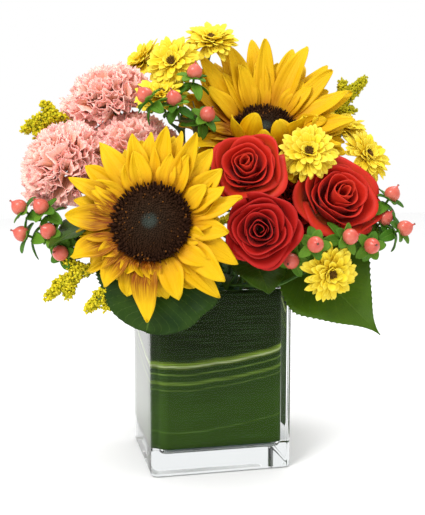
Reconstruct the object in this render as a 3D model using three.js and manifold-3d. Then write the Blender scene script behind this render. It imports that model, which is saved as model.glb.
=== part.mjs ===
// A flower arrangement in a clear glass vase: two sunflowers with roses, carnations, spray
// chrysanthemums, berry sprays, goldenrod and broad leaves. The vase is lined with one long leaf, which hides
// a block of wet floral foam. Every stem stands in a plain hole in the foam and carries its own bloom.
//
// Millimetres, +Z up, origin at the centre of the vase's foot. The vase's front face looks along -Y.
// The flowers are laid out in a frame turned about Z against the vase: there +X is the viewer's right,
// -Y is towards the viewer and a bloom faces [turn, tilt]: turn to the right and tilt above the horizon.
import * as THREE from "three";
import { mergeVertices } from "three/addons/utils/BufferGeometryUtils.js";
import Module from "manifold-3d";

const wasm = await Module();
wasm.setup();
const { Manifold, Mesh } = wasm;

// ---------------------------------------------------------------- driving dimensions
const VASE = { width: 114, depth: 102, height: 146, wall: 7, floor: 16, corner: 6, edge: 1.5 };
const LINER = { thickness: 0.9, foot: 20.5, top: 143, corner: 7 };
const FOAM = { top: 139, corner: 7 };
const GAP = 0.35; // clearance between pieces that touch
const FLOWERS_TURN = THREE.MathUtils.degToRad(-12.7);
const STEM = { depth: 36, rise: 60, focus: 0.42, margin: 7, pitch: 7 };
const EYE = [3, -723, 249]; // where the viewer stands, in the flowers' frame

const SUNFLOWER = { dome: 11, ring: 2, collar: 3, stem: 4.2, petalWidth: 17, petalThickness: 0.9 };
const ROSE = { radius: 27, height: 33, stem: 2.6, hip: 6, petalThickness: 0.9 };
const CARNATION = { radius: 34, height: 30, stem: 2.2, calyx: 6.5, calyxLength: 20, petalThickness: 0.9 };
const POM = { radius: 23, height: 11, stem: 1.5, eye: 4.5, petalThickness: 0.9 };
const BERRY = { radius: 6, length: 14, sepal: 9, stem: 1.1, sepalThickness: 0.9 };
const GOLDENROD = { stem: 1.3, plume: 5 };
const LEAF = { thickness: 0.9, petiole: 1.5, teeth: 7 };

const COLOURS = {
  glass: [0xe8eeee, 0.05],
  liner: [0x1f4a1c, 0.45],
  foam: [0x2f5d3a, 0.95],
  sunPetal: [0xf5c800, 0.6],
  sunDisc: [0x2a120a, 0.9],
  stem: [0x3c6b25, 0.6],
  rose: [0xa81414, 0.55],
  carnation: [0xf3a79a, 0.7],
  pom: [0xf7dc2e, 0.6],
  berry: [0xd9574a, 0.3],
  goldenrod: [0xc8bf2a, 0.8],
  leaf: [0x24521a, 0.5],
};

// ---------------------------------------------------------------- small tools
const rad = THREE.MathUtils.degToRad;
const clamp = (u) => THREE.MathUtils.clamp(u, 0, 1);
const vec = (x, y, z) => new THREE.Vector3(x, y, z);
const range = (n) => Array.from({ length: n }, (_, i) => i);
const polar = (r, a, z) => vec(r * Math.cos(a), r * Math.sin(a), z);
const TURN = 2 * Math.PI;

// A seeded random number from low to high, so that every build draws the same flowers.
function seeded(seed) {
  let state = seed >>> 0;
  return (low = 0, high = 1) => {
    state = (state + 0x6d2b79f5) >>> 0;
    let t = Math.imul(state ^ (state >>> 15), 1 | state);
    t = (t + Math.imul(t ^ (t >>> 7), 61 | t)) ^ t;
    return low + ((high - low) * ((t ^ (t >>> 14)) >>> 0)) / 4294967296;
  };
}

function solidOf(geometry) {
  const bare = new THREE.BufferGeometry().setAttribute("position", geometry.getAttribute("position"));
  if (geometry.index) bare.setIndex(geometry.index);
  const merged = mergeVertices(bare, 1e-4);
  const vertProperties = new Float32Array(merged.attributes.position.array);
  const triVerts = new Uint32Array(merged.index.array);
  return new Manifold(new Mesh({ numProp: 3, vertProperties, triVerts }));
}

function solidFrom(points, index) {
  const geometry = new THREE.BufferGeometry().setFromPoints(points);
  geometry.setIndex(index);
  const solid = solidOf(geometry);
  if (solid.volume() > 0) return solid;
  geometry.setIndex(index.map((_, i) => index[i - (i % 3) + [0, 2, 1][i % 3]]));
  return solidOf(geometry);
}

function geometryOf(solid) {
  const mesh = solid.getMesh();
  const geometry = new THREE.BufferGeometry();
  geometry.setAttribute("position", new THREE.BufferAttribute(new Float32Array(mesh.vertProperties), 3));
  geometry.setIndex(new THREE.BufferAttribute(new Uint32Array(mesh.triVerts), 1));
  geometry.computeVertexNormals();
  return geometry;
}

const fuse = (solids) => Manifold.union(solids);
const moved = (solid, matrix) => solid.transform(matrix.elements);

// The strips of triangles between the loop of top points and the loop of bottom points of a thin sheet.
function rim(loop, under) {
  return loop.flatMap((a, i) => {
    const b = loop[(i + 1) % loop.length];
    return [a, a + under, b + under, a, b + under, b];
  });
}

// A closed thin blade on both sides of the surface (u along, v across from -1 to 1). Both faces are split
// into triangles alike. The blade ends in a point where the surface does.
function blade(surface, rows, columns, thickness, pointed = true) {
  const step = 1e-3;
  const top = [];
  const bottom = [];
  const ids = [];
  for (const i of range(rows + 1)) {
    const tip = pointed && i === rows;
    const row = [];
    for (const j of range(tip ? 1 : columns + 1)) {
      const u = i / rows;
      const v = tip ? 0 : (2 * j) / columns - 1;
      const at = tip ? u - 5 * step : u;
      const along = surface(at + step, v).sub(surface(at - step, v));
      const across = surface(at, v + step).sub(surface(at, v - step));
      const normal = along.cross(across).setLength(thickness / 2);
      row.push(top.push(surface(u, v).add(normal)) - 1);
      bottom.push(surface(u, v).sub(normal));
    }
    ids.push(row);
  }
  const under = top.length;
  const index = [];
  for (const i of range(rows)) {
    for (const j of range(columns)) {
      const [a, b, c, d] = [ids[i][j], ids[i][j + 1], ids[i + 1][j], ids[i + 1][j + 1]];
      if (ids[i + 1].length === 1) {
        const tip = ids[i + 1][0];
        index.push(a, tip, b, a + under, b + under, tip + under);
      } else {
        index.push(a, d, b, a, c, d, a + under, b + under, d + under, a + under, d + under, c + under);
      }
    }
  }
  const left = ids.map((row) => row[0]);
  const right = ids.map((row) => row[row.length - 1]).reverse();
  const far = ids[rows].slice(1, -1);
  const near = ids[0].slice(1, -1).reverse();
  const loop = [...left, ...far, ...(pointed ? right.slice(1) : right), ...near];
  index.push(...rim(loop, under));
  return solidFrom([...top, ...bottom], index);
}

// A closed thin dish round Z: its rings of points widen from the first, which closes round the middle.
function dish(rings, thickness) {
  const segments = rings[0].length;
  const middle = vec(0, 0, rings[0][0].z);
  const top = [...rings.flat(), middle];
  const under = top.length;
  const index = [];
  for (const s of range(segments)) {
    const t = (s + 1) % segments;
    index.push(under - 1, s, t, 2 * under - 1, t + under, s + under);
    for (const k of range(rings.length - 1)) {
      const [a, b, c, d] = [s, t, s + segments, t + segments].map((n) => n + k * segments);
      index.push(a, c, d, a, d, b, a + under, d + under, c + under, a + under, b + under, d + under);
    }
  }
  index.push(...rim(range(segments).map((s) => s + (rings.length - 1) * segments), under));
  return solidFrom([...top, ...top.map((p) => p.clone().setZ(p.z - thickness))], index);
}

// A closed thin whorl of lobes round Z from its middle height: notches[i] stands before lobe i, whose rounded
// or pointed end is lobes[i], a list of two points or one.
function whorl(middle, notches, lobes, thickness) {
  const top = [vec(0, 0, middle), ...notches];
  const loop = [];
  const index = [];
  const count = notches.length;
  lobes.forEach((lobe, i) => {
    const [n, m] = [1 + i, 1 + ((i + 1) % count)];
    const ends = lobe.map((p) => top.push(p) - 1);
    loop.push(n, ...ends);
    index.push([0, n, m], [n, ends[0], m]);
    if (ends.length > 1) index.push([ends[0], ends[1], m]);
  });
  const under = top.length;
  const faces = index.flatMap(([a, b, c]) => [a, b, c, a + under, c + under, b + under]);
  faces.push(...rim(loop, under));
  return solidFrom([...top, ...top.map((p) => p.clone().setZ(p.z - thickness))], faces);
}

// A solid of revolution from [radius, height] points that start and end on the axis.
function turned(profile, sides) {
  const points = profile.map(([r, z]) => new THREE.Vector2(r, z));
  const solid = solidOf(new THREE.LatheGeometry(points, sides).rotateX(Math.PI / 2));
  return solid.volume() > 0 ? solid : turned([...profile].reverse(), sides);
}

// A round section swept along a path.
function sweep(path, radius, sides, steps) {
  const corner = (i) => new THREE.Vector2(Math.cos((TURN * i) / sides), Math.sin((TURN * i) / sides));
  const section = new THREE.Shape(range(sides).map((i) => corner(i).multiplyScalar(radius)));
  return solidOf(new THREE.ExtrudeGeometry(section, { steps, extrudePath: path, bevelEnabled: false }));
}

// A round rod along a smooth path through the points.
function rod(points, radius, sides, steps) {
  const path = points.length === 2 ? new THREE.LineCurve3(...points) : new THREE.CatmullRomCurve3(points);
  return sweep(path, radius, sides, steps);
}

// ---------------------------------------------------------------- places
// Unit vector of a facing [turn, tilt] in degrees.
function facingVector([turn, tilt]) {
  const [a, e] = [rad(turn), rad(tilt)];
  return vec(Math.sin(a) * Math.cos(e), -Math.cos(a) * Math.cos(e), Math.sin(e));
}

// The matrix of a bloom: its local Z looks along the axis, and its local Y is up as the viewer sees it.
function bloomMatrix(at, axis, scale = 1) {
  const x = vec(0, 0, 1).cross(axis).normalize();
  const y = axis.clone().cross(x);
  return new THREE.Matrix4().makeBasis(x, y, axis).setPosition(at).scale(vec(scale, scale, scale));
}

// Everything already placed, in the flowers' frame, and the holes of the stems.
const placed = new Map();
const holes = [];

function isClear(a, b, margin = GAP) {
  const [p, q] = [a.boundingBox(), b.boundingBox()];
  const apart = [0, 1, 2].some((i) => p.min[i] > q.max[i] + margin || q.min[i] > p.max[i] + margin);
  return apart || a.minGap(b, margin) >= margin;
}

const isFree = (solid) => [...placed.values()].every((other) => isClear(solid, other));

// The first of several tries that stands clear of all that is already there, or else the first of all.
function firstFree(tries, make) {
  for (const attempt of tries) {
    const solid = make(attempt);
    if (isFree(solid)) return { solid, attempt, free: true };
  }
  return { solid: make(tries[0]), attempt: tries[0], free: false };
}

// Steps along the line of sight, nearest first: a bloom moves back or forward until it stands clear.
const STEPS = [0, ...range(14).flatMap((i) => [2.5 * (i + 1), -2.5 * (i + 1)])];
function stepped(at, distance) {
  const point = vec(...at);
  const sight = point.clone().sub(vec(...EYE)).normalize();
  return point.addScaledVector(sight, distance);
}

const materials = {};
for (const [name, [color, roughness]] of Object.entries(COLOURS)) {
  materials[name] = new THREE.MeshStandardMaterial({ name, color, roughness, metalness: 0 });
}
Object.assign(materials.glass, { transparent: true, opacity: 0.35 });

const flowers = new THREE.Group();
flowers.rotation.z = FLOWERS_TURN;

// The largest shell of a solid: hollows that fusing has sealed are filled and loose scraps are dropped.
function wholeBody(solid) {
  return solid.decompose().reduce((a, b) => (b.volume() > a.volume() ? b : a));
}

function add(group, name, solid, material) {
  const body = wholeBody(solid);
  const mesh = new THREE.Mesh(geometryOf(body), materials[material].clone());
  mesh.name = name;
  group.add(mesh);
  placed.set(name, body);
}

// ---------------------------------------------------------------- vase, liner and foam
function roundedRectangle(width, depth, r) {
  const [x, y] = [width / 2 - r, depth / 2 - r];
  const shape = new THREE.Shape();
  shape.absarc(x, -y, r, -Math.PI / 2, 0, false);
  shape.absarc(x, y, r, 0, Math.PI / 2, false);
  shape.absarc(-x, y, r, Math.PI / 2, Math.PI, false);
  shape.absarc(-x, -y, r, Math.PI, 1.5 * Math.PI, false);
  return shape;
}

// An upright block between two heights, its top and bottom edges eased by a bevel of the given size.
function block({ width, depth }, corner, low, high, ease = 0) {
  const shape = roundedRectangle(width - 2 * ease, depth - 2 * ease, corner - ease);
  const bevel = { bevelEnabled: ease > 0, bevelSize: ease, bevelThickness: ease, bevelSegments: 1 };
  const size = { depth: high - low - 2 * ease, curveSegments: 3 };
  const geometry = new THREE.ExtrudeGeometry(shape, { ...size, ...bevel });
  return solidOf(geometry.translate(0, 0, low + ease));
}

const shrunk = ({ width, depth }, by) => ({ width: width - 2 * by, depth: depth - 2 * by });
const inner = shrunk(VASE, VASE.wall);
const above = VASE.height + 20;

function vase() {
  const body = block(VASE, VASE.corner, 0, VASE.height, VASE.edge);
  return body.subtract(block(inner, VASE.corner + 2, VASE.floor, above, 4));
}

function liner() {
  const outside = shrunk(inner, GAP);
  const body = block(outside, LINER.corner, LINER.foot, LINER.top);
  return body.subtract(block(shrunk(outside, LINER.thickness), LINER.corner - LINER.thickness, 0, above));
}

const foamSize = shrunk(inner, 2 * GAP + LINER.thickness);
const toFlowers = new THREE.Matrix4().makeRotationZ(-FLOWERS_TURN);

function foam() {
  const body = block(foamSize, FOAM.corner, VASE.floor + GAP, FOAM.top, 5);
  return body.subtract(moved(fuse(holes), toFlowers.clone().invert()));
}

// ---------------------------------------------------------------- stems
// A stem's centreline: straight through its hole in the foam, then one smooth curve that meets the bloom's
// foot along its axis.
function stemLine([x, y], foot, axis, bow, sway) {
  const mouth = vec(x, y, FOAM.top);
  const outward = foot.clone().sub(mouth);
  const lean = outward.setZ(Math.abs(outward.z) + STEM.rise).normalize();
  const deep = mouth.clone().addScaledVector(lean, -STEM.depth);
  const clear = mouth.clone().addScaledVector(lean, 6);
  const reach = foot.distanceTo(clear) * bow;
  const knees = [clear.clone().addScaledVector(lean, reach), foot.clone().addScaledVector(axis, -reach)];
  knees[1].add(sway);
  return { deep, mouth, lean, clear, curve: new THREE.CubicBezierCurve3(clear, ...knees, foot) };
}

// The path of a stem for the sweep: its first step is the whole straight part, the others share the curve.
class StemPath extends THREE.Curve {
  constructor({ deep, clear, curve }, steps) {
    super();
    Object.assign(this, { deep, clear, curve, steps });
  }

  getPointAt(u) {
    const step = u * this.steps;
    if (step < 1) return this.deep.clone().lerp(this.clear, step);
    return this.curve.getPoint((step - 1) / (this.steps - 1));
  }

  getTangentAt(u) {
    const step = u * this.steps;
    if (step < 1) return this.clear.clone().sub(this.deep).normalize();
    return this.curve.getTangent((step - 1) / (this.steps - 1));
  }
}

function stemSolid(line, radius, sides, steps) {
  return sweep(new StemPath(line, steps), radius, sides, steps);
}

// A stem's hole: a little wider than the stem and a little deeper.
function holeSolid({ deep, mouth, lean }, radius, sides) {
  const ends = [deep.clone().addScaledVector(lean, -GAP), mouth.clone().addScaledVector(lean, 12)];
  return rod(ends, (radius + GAP) / Math.cos(Math.PI / sides), sides, 1);
}

// Places for stems on the foam: a staggered grid in the flowers' frame, kept off the foam's edge.
const sites = [];
for (const i of range(13)) {
  for (const j of range(13)) {
    const [x, y] = [(i - 6 + (j % 2) / 2) * STEM.pitch, (j - 6) * STEM.pitch * 0.87];
    const spot = vec(x, y, 0).applyAxisAngle(vec(0, 0, 1), FLOWERS_TURN);
    const room = shrunk(foamSize, STEM.margin);
    if (Math.abs(spot.x) < room.width / 2 && Math.abs(spot.y) < room.depth / 2) sites.push([x, y]);
  }
}
const BOWS = [0.4, 0.28, 0.55];
// Ways for a stem to swing to one side on its way up.
const SWAYS = [vec(0, 0, 0)];
for (const reach of [12, 24, 38]) {
  for (const i of range(8)) SWAYS.push(polar(reach, (TURN * i) / 8, 0));
}

// Leads a stem from the foam to the foot of a bloom along the first way that stands clear of everything.
function leadStem(name, green, foot, axis, radius, material, { sides = 5, steps = 5 } = {}) {
  const ideal = foot.clone().multiplyScalar(STEM.focus);
  const near = ([x, y]) => Math.hypot(x - ideal.x, y - ideal.y);
  const ordered = [...sites].sort((p, q) => near(p) - near(q));
  for (const sway of SWAYS) {
    for (const site of ordered) {
      const hole = holeSolid(stemLine(site, foot, axis, 0, sway), radius, sides);
      if (!holes.every((other) => isClear(hole, other, 0.8))) continue;
      for (const bow of BOWS) {
        const solid = stemSolid(stemLine(site, foot, axis, bow, sway), radius, sides, steps);
        if (!isFree(solid)) continue;
        holes.push(hole);
        add(flowers, name, fuse([green, solid]).simplify(0.3), material);
        return;
      }
    }
  }
  throw new Error(`no way for the stem of ${name}`);
}

// Stems wait until every bloom is in its place.
const waiting = [];
const later = (...stem) => waiting.push(stem);

// ---------------------------------------------------------------- sunflowers
// The surface of a strap petal: it leaves at radius root with the given lift and bends on by curl degrees.
function strapPetal({ angle, root, length, width, lift, curl, z = 0, cup = 0.12, neck = 0.32 }) {
  const [phi, a0, k] = [rad(angle), rad(lift), rad(curl) || 1e-4];
  const [out, side] = [polar(1, phi, 0), polar(1, phi + Math.PI / 2, 0)];
  return (along, v) => {
    const u = clamp(along);
    const a = a0 + k * u;
    const r = root + (length * (Math.sin(a) - Math.sin(a0))) / k;
    const h = z + (length * (Math.cos(a0) - Math.cos(a))) / k;
    const swell = neck + (1 - neck) * Math.sin(Math.min(1, u / 0.5) * (Math.PI / 2));
    const half = (width / 2) * (1 - u ** 2.6) ** 0.8 * swell;
    const n = cup * width * v * v * (1 - u) * u * 4;
    const p = out.clone().multiplyScalar(r - n * Math.sin(a)).addScaledVector(side, v * half);
    return p.setZ(h + n * Math.cos(a));
  };
}

// The domed disc with its rings of raised florets and a hollow middle.
function sunflowerDisc(radius, dome) {
  const [rings, segments] = [5, 18];
  const hollow = (r) => (r < radius * 0.4 ? 1.6 : 0);
  const height = (r) => dome * (1 - 0.7 * (r / radius) ** 2.5) - hollow(r);
  const ring = (k) => {
    const r = (radius * (k + 0.8)) / (rings + 0.8);
    return range(segments).map((s) => {
      const bump = (s + k) % 2 ? 1 : -0.6;
      return polar(r + (k === rings ? bump * 0.6 : 0), (TURN * (s + (k % 2) / 2)) / segments, height(r) + bump);
    });
  };
  const rows = range(rings + 1).map(ring);
  const foot = range(segments).map((s) => polar(radius * 0.94, (TURN * (s + 0.5)) / segments, 0));
  const points = [...rows.flat(), ...foot, vec(0, 0, height(0)), vec(0, 0, 0)];
  const index = [];
  for (const s of range(segments)) {
    const t = (s + 1) % segments;
    const last = (rings + 1) * segments;
    index.push(points.length - 2, s, t, points.length - 1, t + last, s + last);
    for (const k of range(rings + 1)) {
      const [a, b, c, d] = [s, t, s + segments, t + segments].map((n) => n + k * segments);
      if (k % 2) index.push(a, c, d, a, d, b);
      else index.push(a, c, b, b, c, d);
    }
  }
  return solidFrom(points, index);
}

// Bends that a petal tries in turn until it stands clear of its neighbours.
const BENDS = [0, 6, -6, 12, -12, 18, -18, 26, -26, 34];

function sunflowerPetals(disc, petals, place) {
  const { ring, collar, petalThickness, petalWidth } = SUNFLOWER;
  const rimRadius = disc + collar;
  const parts = [moved(turned([[0, -ring], [rimRadius, -ring], [rimRadius, -GAP], [0, -GAP]], 16), place)];
  petals.forEach(({ angle, reach, lift, curl, width = 1 }) => {
    const root = disc + 0.8;
    const z = -ring / 2 - GAP / 2;
    const shape = { angle, root, length: reach - root, width: petalWidth * width, curl, z };
    const bent = (bend) => blade(strapPetal({ ...shape, lift: lift + bend }), 2, 2, petalThickness);
    const make = (bend) => moved(bent(bend), place);
    const { solid, free } = firstFree(BENDS, make);
    if (free) parts.push(solid);
  });
  return fuse(parts).simplify(0.4);
}

function sunflowerGreen(disc, place) {
  const { ring, stem: radius } = SUNFLOWER;
  const top = -ring - GAP;
  const back = [[0, -14], [radius, -14], [disc * 0.55, -7.5], [disc - 4, top], [0, top]];
  const bracts = sepals(10, disc + 10, disc - 6, 8, 1.2);
  return moved(fuse([turned(back, 10), bracts.translate([0, 0, top - 0.2])]).simplify(0.15), place);
}

// Places the disc and the green back at once, and hands back the step that opens the petals later.
function sunflower(name, { at, facing, disc, petals }) {
  const axis = facingVector(facing);
  const place = bloomMatrix(vec(...at), axis);
  const green = sunflowerGreen(disc, place);
  placed.set(`${name}_stem`, green);
  add(flowers, `${name}_disc`, moved(sunflowerDisc(disc, SUNFLOWER.dome), place), "sunDisc");
  const foot = vec(...at).addScaledVector(axis, -12);
  later(`${name}_stem`, green, foot, axis, SUNFLOWER.stem, "stem", { sides: 6, steps: 6 });
  return () => add(flowers, `${name}_petals`, sunflowerPetals(disc, petals, place), "sunPetal");
}

// ---------------------------------------------------------------- blooms on one stem
// A bloom steps along the line of sight until head and green stand clear; its stem is led to it later.
function bloom(name, { at, facing, scale = 1 }, head, green, material, footDrop, radius) {
  const axis = facingVector(facing);
  const spot = (distance) => bloomMatrix(stepped(at, distance), axis, scale);
  const { attempt } = firstFree(STEPS, (distance) => moved(fuse([head, green]), spot(distance)));
  const place = spot(attempt);
  add(flowers, `${name}_petals`, moved(head, place), material);
  placed.set(`${name}_stem`, moved(green, place));
  const foot = stepped(at, attempt).addScaledVector(axis, -footDrop * scale);
  later(`${name}_stem`, moved(green, place), foot, axis, radius, "stem");
}

// The cups of a rose from the outside in. A cup has a number of petals, its size is a share of the head's
// radius and height, and its rim rolls outwards.
const ROSE_CUPS = [
  { petals: 5, reach: 1, low: 0.02, high: 0.62, roll: 0.12 },
  { petals: 3, reach: 0.68, low: 0.2, high: 0.82, roll: 0.06 },
  { petals: 2, reach: 0.36, low: 0.42, high: 0.96, roll: 0.02 },
];
// Three points along each petal's rim: its share of the radius and of the height. One edge of every petal
// stands out over the next one's.
const ROSE_RIM = [[0.9, 0.86], [0.98, 1], [1.06, 0.96]];

function rosePetals(seed) {
  const random = seeded(seed);
  const { radius: R, height: H } = ROSE;
  const parts = [turned([[0, 0], [4, 0], [4, H * 0.5], [0, H * 0.7]], 4)];
  for (const { petals, reach, low, high, roll } of ROSE_CUPS) {
    const start = random(0, TURN);
    const rows = [[0.2, 0, 0], [0.84, 0.45, 0.5], [1 + roll, 1, 1]];
    const rings = rows.map(([wide, up, shaped]) =>
      range(petals * 3).map((i) => {
        const [out, tall] = ROSE_RIM[i % 3].map((share) => 1 + (share - 1) * shaped);
        const a = start + (TURN * i) / (petals * 3);
        return polar(R * reach * wide * out, a, H * (low + (high - low) * up) * tall + ROSE.petalThickness);
      }),
    );
    parts.push(dish(rings, ROSE.petalThickness));
  }
  return fuse(parts).simplify(0.6);
}

// A green whorl of pointed sepals that spread and droop from under a head.
function sepals(count, reach, spread, drop, thickness) {
  const ring = (r, i, z) => polar(r, (TURN * i) / count, z);
  const notches = range(count).map((i) => ring(spread, i, -1.2));
  return whorl(-1.2, notches, range(count).map((i) => [ring(reach, i + 0.5, -drop)]), thickness);
}

function rose(name, { seed, ...where }) {
  const { stem: radius, hip } = ROSE;
  const cup = turned([[0, -9], [radius, -9], [hip, -4.5], [5.5, -GAP], [0, -GAP]], 6);
  const green = fuse([cup, sepals(5, 20, 4.5, 9, 1)]).simplify(0.15);
  bloom(name, where, rosePetals(seed), green, "rose", 8, radius);
}

// Nested ruffled layers with zigzag edges round a small core.
const CARNATION_LAYERS = [
  { reach: 1, low: 0.1, high: 0.32, segments: 14 },
  { reach: 0.88, low: 0.3, high: 0.66, segments: 12 },
  { reach: 0.6, low: 0.5, high: 0.95, segments: 10 },
];

function carnationPetals(seed) {
  const random = seeded(seed);
  const { radius: R, height: H } = CARNATION;
  const parts = [turned([[0, 0], [6, 0], [6, H * 0.6], [0, H * 0.9]], 5)];
  for (const { reach, low, high, segments } of CARNATION_LAYERS) {
    const waves = range(segments).map((s) => (s % 2 ? 1 : -1) * random(0.5, 1));
    const start = random(0, TURN);
    const ring = (r, z, wave) =>
      waves.map((w, s) => polar(r * (1 + 0.02 * wave * w), start + (TURN * s) / segments, z + wave * w));
    const rings = [
      ring(4, H * low, 0),
      ring(R * reach * 0.66, H * (low * 0.7 + high * 0.3), 0.6),
      ring(R * reach, H * high, 2.6),
    ];
    parts.push(dish(rings, CARNATION.petalThickness));
  }
  return fuse(parts).simplify(0.5);
}

function carnation(name, { seed, ...where }) {
  const { stem: radius, calyx, calyxLength: length } = CARNATION;
  const cup = [[0, -length], [radius, -length], [calyx, -length + 5], [calyx, -GAP], [0, -GAP]];
  bloom(name, where, carnationPetals(seed), turned(cup, 7), "carnation", length - 2, radius);
}

// ---------------------------------------------------------------- spray chrysanthemums
const POM_WHORLS = [
  { count: 9, reach: 1, lift: 4, middle: 0.9, rise: 1.6 },
  { count: 6, reach: 0.76, lift: 34, middle: 1.7, rise: 3 },
];

function pomPetals(seed) {
  const random = seeded(seed);
  const { radius: R, height: H, eye } = POM;
  const parts = [turned([[0, 1], [eye, 1], [eye * 0.8, H * 0.6], [0, H * 0.5]], 5)];
  for (const { count, reach, lift, middle, rise } of POM_WHORLS) {
    const start = random(0, TURN);
    const point = (t, a) => {
      const out = R * reach * t;
      const height = rise + out * Math.sin(rad(lift)) * 0.8;
      return polar(out * Math.cos(rad(lift)), start + (TURN * a) / count, height);
    };
    const notches = range(count).map((i) => point(0.34, i));
    const lobes = range(count).map((i) => {
      const t = random(0.92, 1.05);
      return [point(t, i + 0.16), point(t, i + 0.84)];
    });
    parts.push(whorl(middle, notches, lobes, POM.petalThickness));
  }
  return fuse(parts).simplify(0.4);
}

// Places for the fork of a spray: where it is drawn, or else further and further from there.
const SHIFTS = [[0, 0, 0]];
const anywhere = seeded(5);
for (const i of range(90)) SHIFTS.push([0, 0, 0].map(() => anywhere(-1, 1) * (4 + i / 3)));

// A spray: a main stem that forks into one branch for each end. The fork moves until its branches are clear.
function spray(name, at, ends, radius, material) {
  const make = (shift) => {
    const fork = vec(...at).add(vec(...shift));
    const knot = turned([[0, -radius - 0.8], [radius + 0.8, 0], [0, radius + 0.8]], 4);
    const branches = ends.map(({ foot, axis }) => {
      const knee = foot.clone().addScaledVector(axis, -foot.distanceTo(fork) * 0.4);
      return rod([fork, knee, foot], radius, 3, 2);
    });
    return fuse([moved(knot, new THREE.Matrix4().setPosition(fork)), ...branches]).simplify(0.3);
  };
  const { solid, attempt } = firstFree(SHIFTS, make);
  const fork = vec(...at).add(vec(...attempt));
  const all = fuse([...ends.map((end) => end.green), solid]);
  leadStem(name, all, fork, facingVector([0, 80]), radius + 0.4, material, { sides: 4, steps: 4 });
}

// Sprays are joined up, each by its name, once the stems of the large blooms stand.
const sprays = new Map();
const join = (...names) => names.forEach((name) => sprays.get(name)());

function pomSpray(name, { fork, blooms }) {
  const { stem: radius } = POM;
  const cup = turned([[0, -5.5], [5, -1.4], [4.5, -GAP], [0, -GAP]], 5);
  const ends = blooms.map(({ id, at, facing, seed }) => {
    const axis = facingVector(facing);
    const head = pomPetals(seed);
    const whole = fuse([head, cup]);
    const { attempt } = firstFree(STEPS, (distance) => moved(whole, bloomMatrix(stepped(at, distance), axis)));
    const place = bloomMatrix(stepped(at, attempt), axis);
    add(flowers, id, moved(head, place), "pom");
    placed.set(`${id}_cup`, moved(cup, place));
    return { id, axis, green: moved(cup, place), foot: stepped(at, attempt).addScaledVector(axis, -4.5) };
  });
  sprays.set(name, () => {
    ends.forEach(({ id }) => placed.delete(`${id}_cup`));
    spray(name, fork, ends, radius, "stem");
  });
}

// ---------------------------------------------------------------- berry sprays
function berryHead() {
  const { radius: R, length: L, sepal, sepalThickness } = BERRY;
  const fruit = turned([[0, 0], [R, L * 0.38], [R * 0.6, L * 0.84], [0, L]], 5);
  const ring = (r, a, z) => polar(r, (TURN * a) / 4, z);
  const notches = range(4).map((i) => ring(R * 0.4, i, 0.9));
  const lobes = range(4).map((i) => [ring(sepal, i + 0.5, 0.4)]);
  return fuse([fruit, whorl(0.3, notches, lobes, sepalThickness)]).simplify(0.4);
}

function berrySpray(name, { fork, berries }) {
  const head = berryHead();
  const ends = berries.map((at, i) => {
    const axis = vec(...at).sub(vec(...fork)).add(vec(0, -6, 12)).normalize();
    const base = (distance) => stepped(at, distance).addScaledVector(axis, -BERRY.length / 2);
    const make = (distance) => moved(head, bloomMatrix(base(distance), axis));
    const { solid, attempt } = firstFree(STEPS, make);
    placed.set(`${name}_${i}`, solid);
    return { axis, green: solid, foot: base(attempt).addScaledVector(axis, 0.4) };
  });
  sprays.set(name, () => {
    berries.forEach((_, i) => placed.delete(`${name}_${i}`));
    spray(name, fork, ends, BERRY.stem, "berry");
  });
}

// ---------------------------------------------------------------- goldenrod
// A plume: a tapering body raised into a floret at every other corner.
function plume(points, radius, rings) {
  const path = new THREE.CatmullRomCurve3(points);
  const sides = 4;
  const frames = path.computeFrenetFrames(rings, false);
  const body = range(rings + 1).flatMap((k) => {
    const taper = Math.sin(Math.PI * (0.12 + (0.8 * k) / rings)) ** 0.5;
    return range(sides).map((s) => {
      const a = (TURN * (s + (k % 2) / 2)) / sides;
      const r = radius * taper * ((s + k) % 2 ? 1.2 : 0.5);
      const p = path.getPointAt(k / rings).addScaledVector(frames.normals[k], r * Math.cos(a));
      return p.addScaledVector(frames.binormals[k], r * Math.sin(a));
    });
  });
  const [first, last] = [body.length, body.length + 1];
  const index = [];
  for (const s of range(sides)) {
    const t = (s + 1) % sides;
    index.push(first, t, s, last, rings * sides + s, rings * sides + t);
    for (const k of range(rings)) {
      const [a, b, c, d] = [s, t, s + sides, t + sides].map((n) => n + k * sides);
      if (k % 2) index.push(a, b, c, b, d, c);
      else index.push(a, d, c, a, b, d);
    }
  }
  return solidFrom([...body, path.getPointAt(0), path.getPointAt(1)], index);
}

function goldenrod(name, { root, tip, droop = 4, side = 17 }) {
  const make = (distance) => {
    const [from, to] = [stepped(root, distance), stepped(tip, distance)];
    const middle = from.clone().lerp(to, 0.5).add(vec(0, 0, droop));
    const curve = new THREE.CatmullRomCurve3([from, middle, to]);
    const parts = [plume([from, middle, to], GOLDENROD.plume, 6)];
    for (const [u, turn] of [[0.12, 1], [0.35, -1]]) {
      const [start, ahead] = [curve.getPointAt(u), curve.getTangentAt(u)];
      const out = ahead.clone().cross(vec(0, -1, 0)).setLength(side * 0.75 * turn);
      const end = start.clone().addScaledVector(ahead, side * 0.75).add(out);
      parts.push(plume([start, start.clone().lerp(end, 0.5), end], GOLDENROD.plume * 0.8, 3));
    }
    return fuse(parts).simplify(0.8);
  };
  const { solid, attempt } = firstFree(STEPS, make);
  placed.set(name, solid);
  const axis = vec(...tip).sub(vec(...root)).add(vec(0, 0, droop)).normalize();
  const foot = stepped(root, attempt).addScaledVector(axis, 2);
  sprays.set(name, () => {
    placed.delete(name);
    leadStem(name, solid, foot, axis, GOLDENROD.stem, "goldenrod", { sides: 4, steps: 4 });
  });
}

// ---------------------------------------------------------------- broad leaves
// Local X runs from the leaf's base to its tip, local Z is its upper face.
function leafMatrix(at, x, roll) {
  const side = vec(0, 0, 1).cross(x).normalize().applyAxisAngle(x, rad(roll));
  return new THREE.Matrix4().makeBasis(x, side, x.clone().cross(side)).setPosition(at);
}

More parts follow.
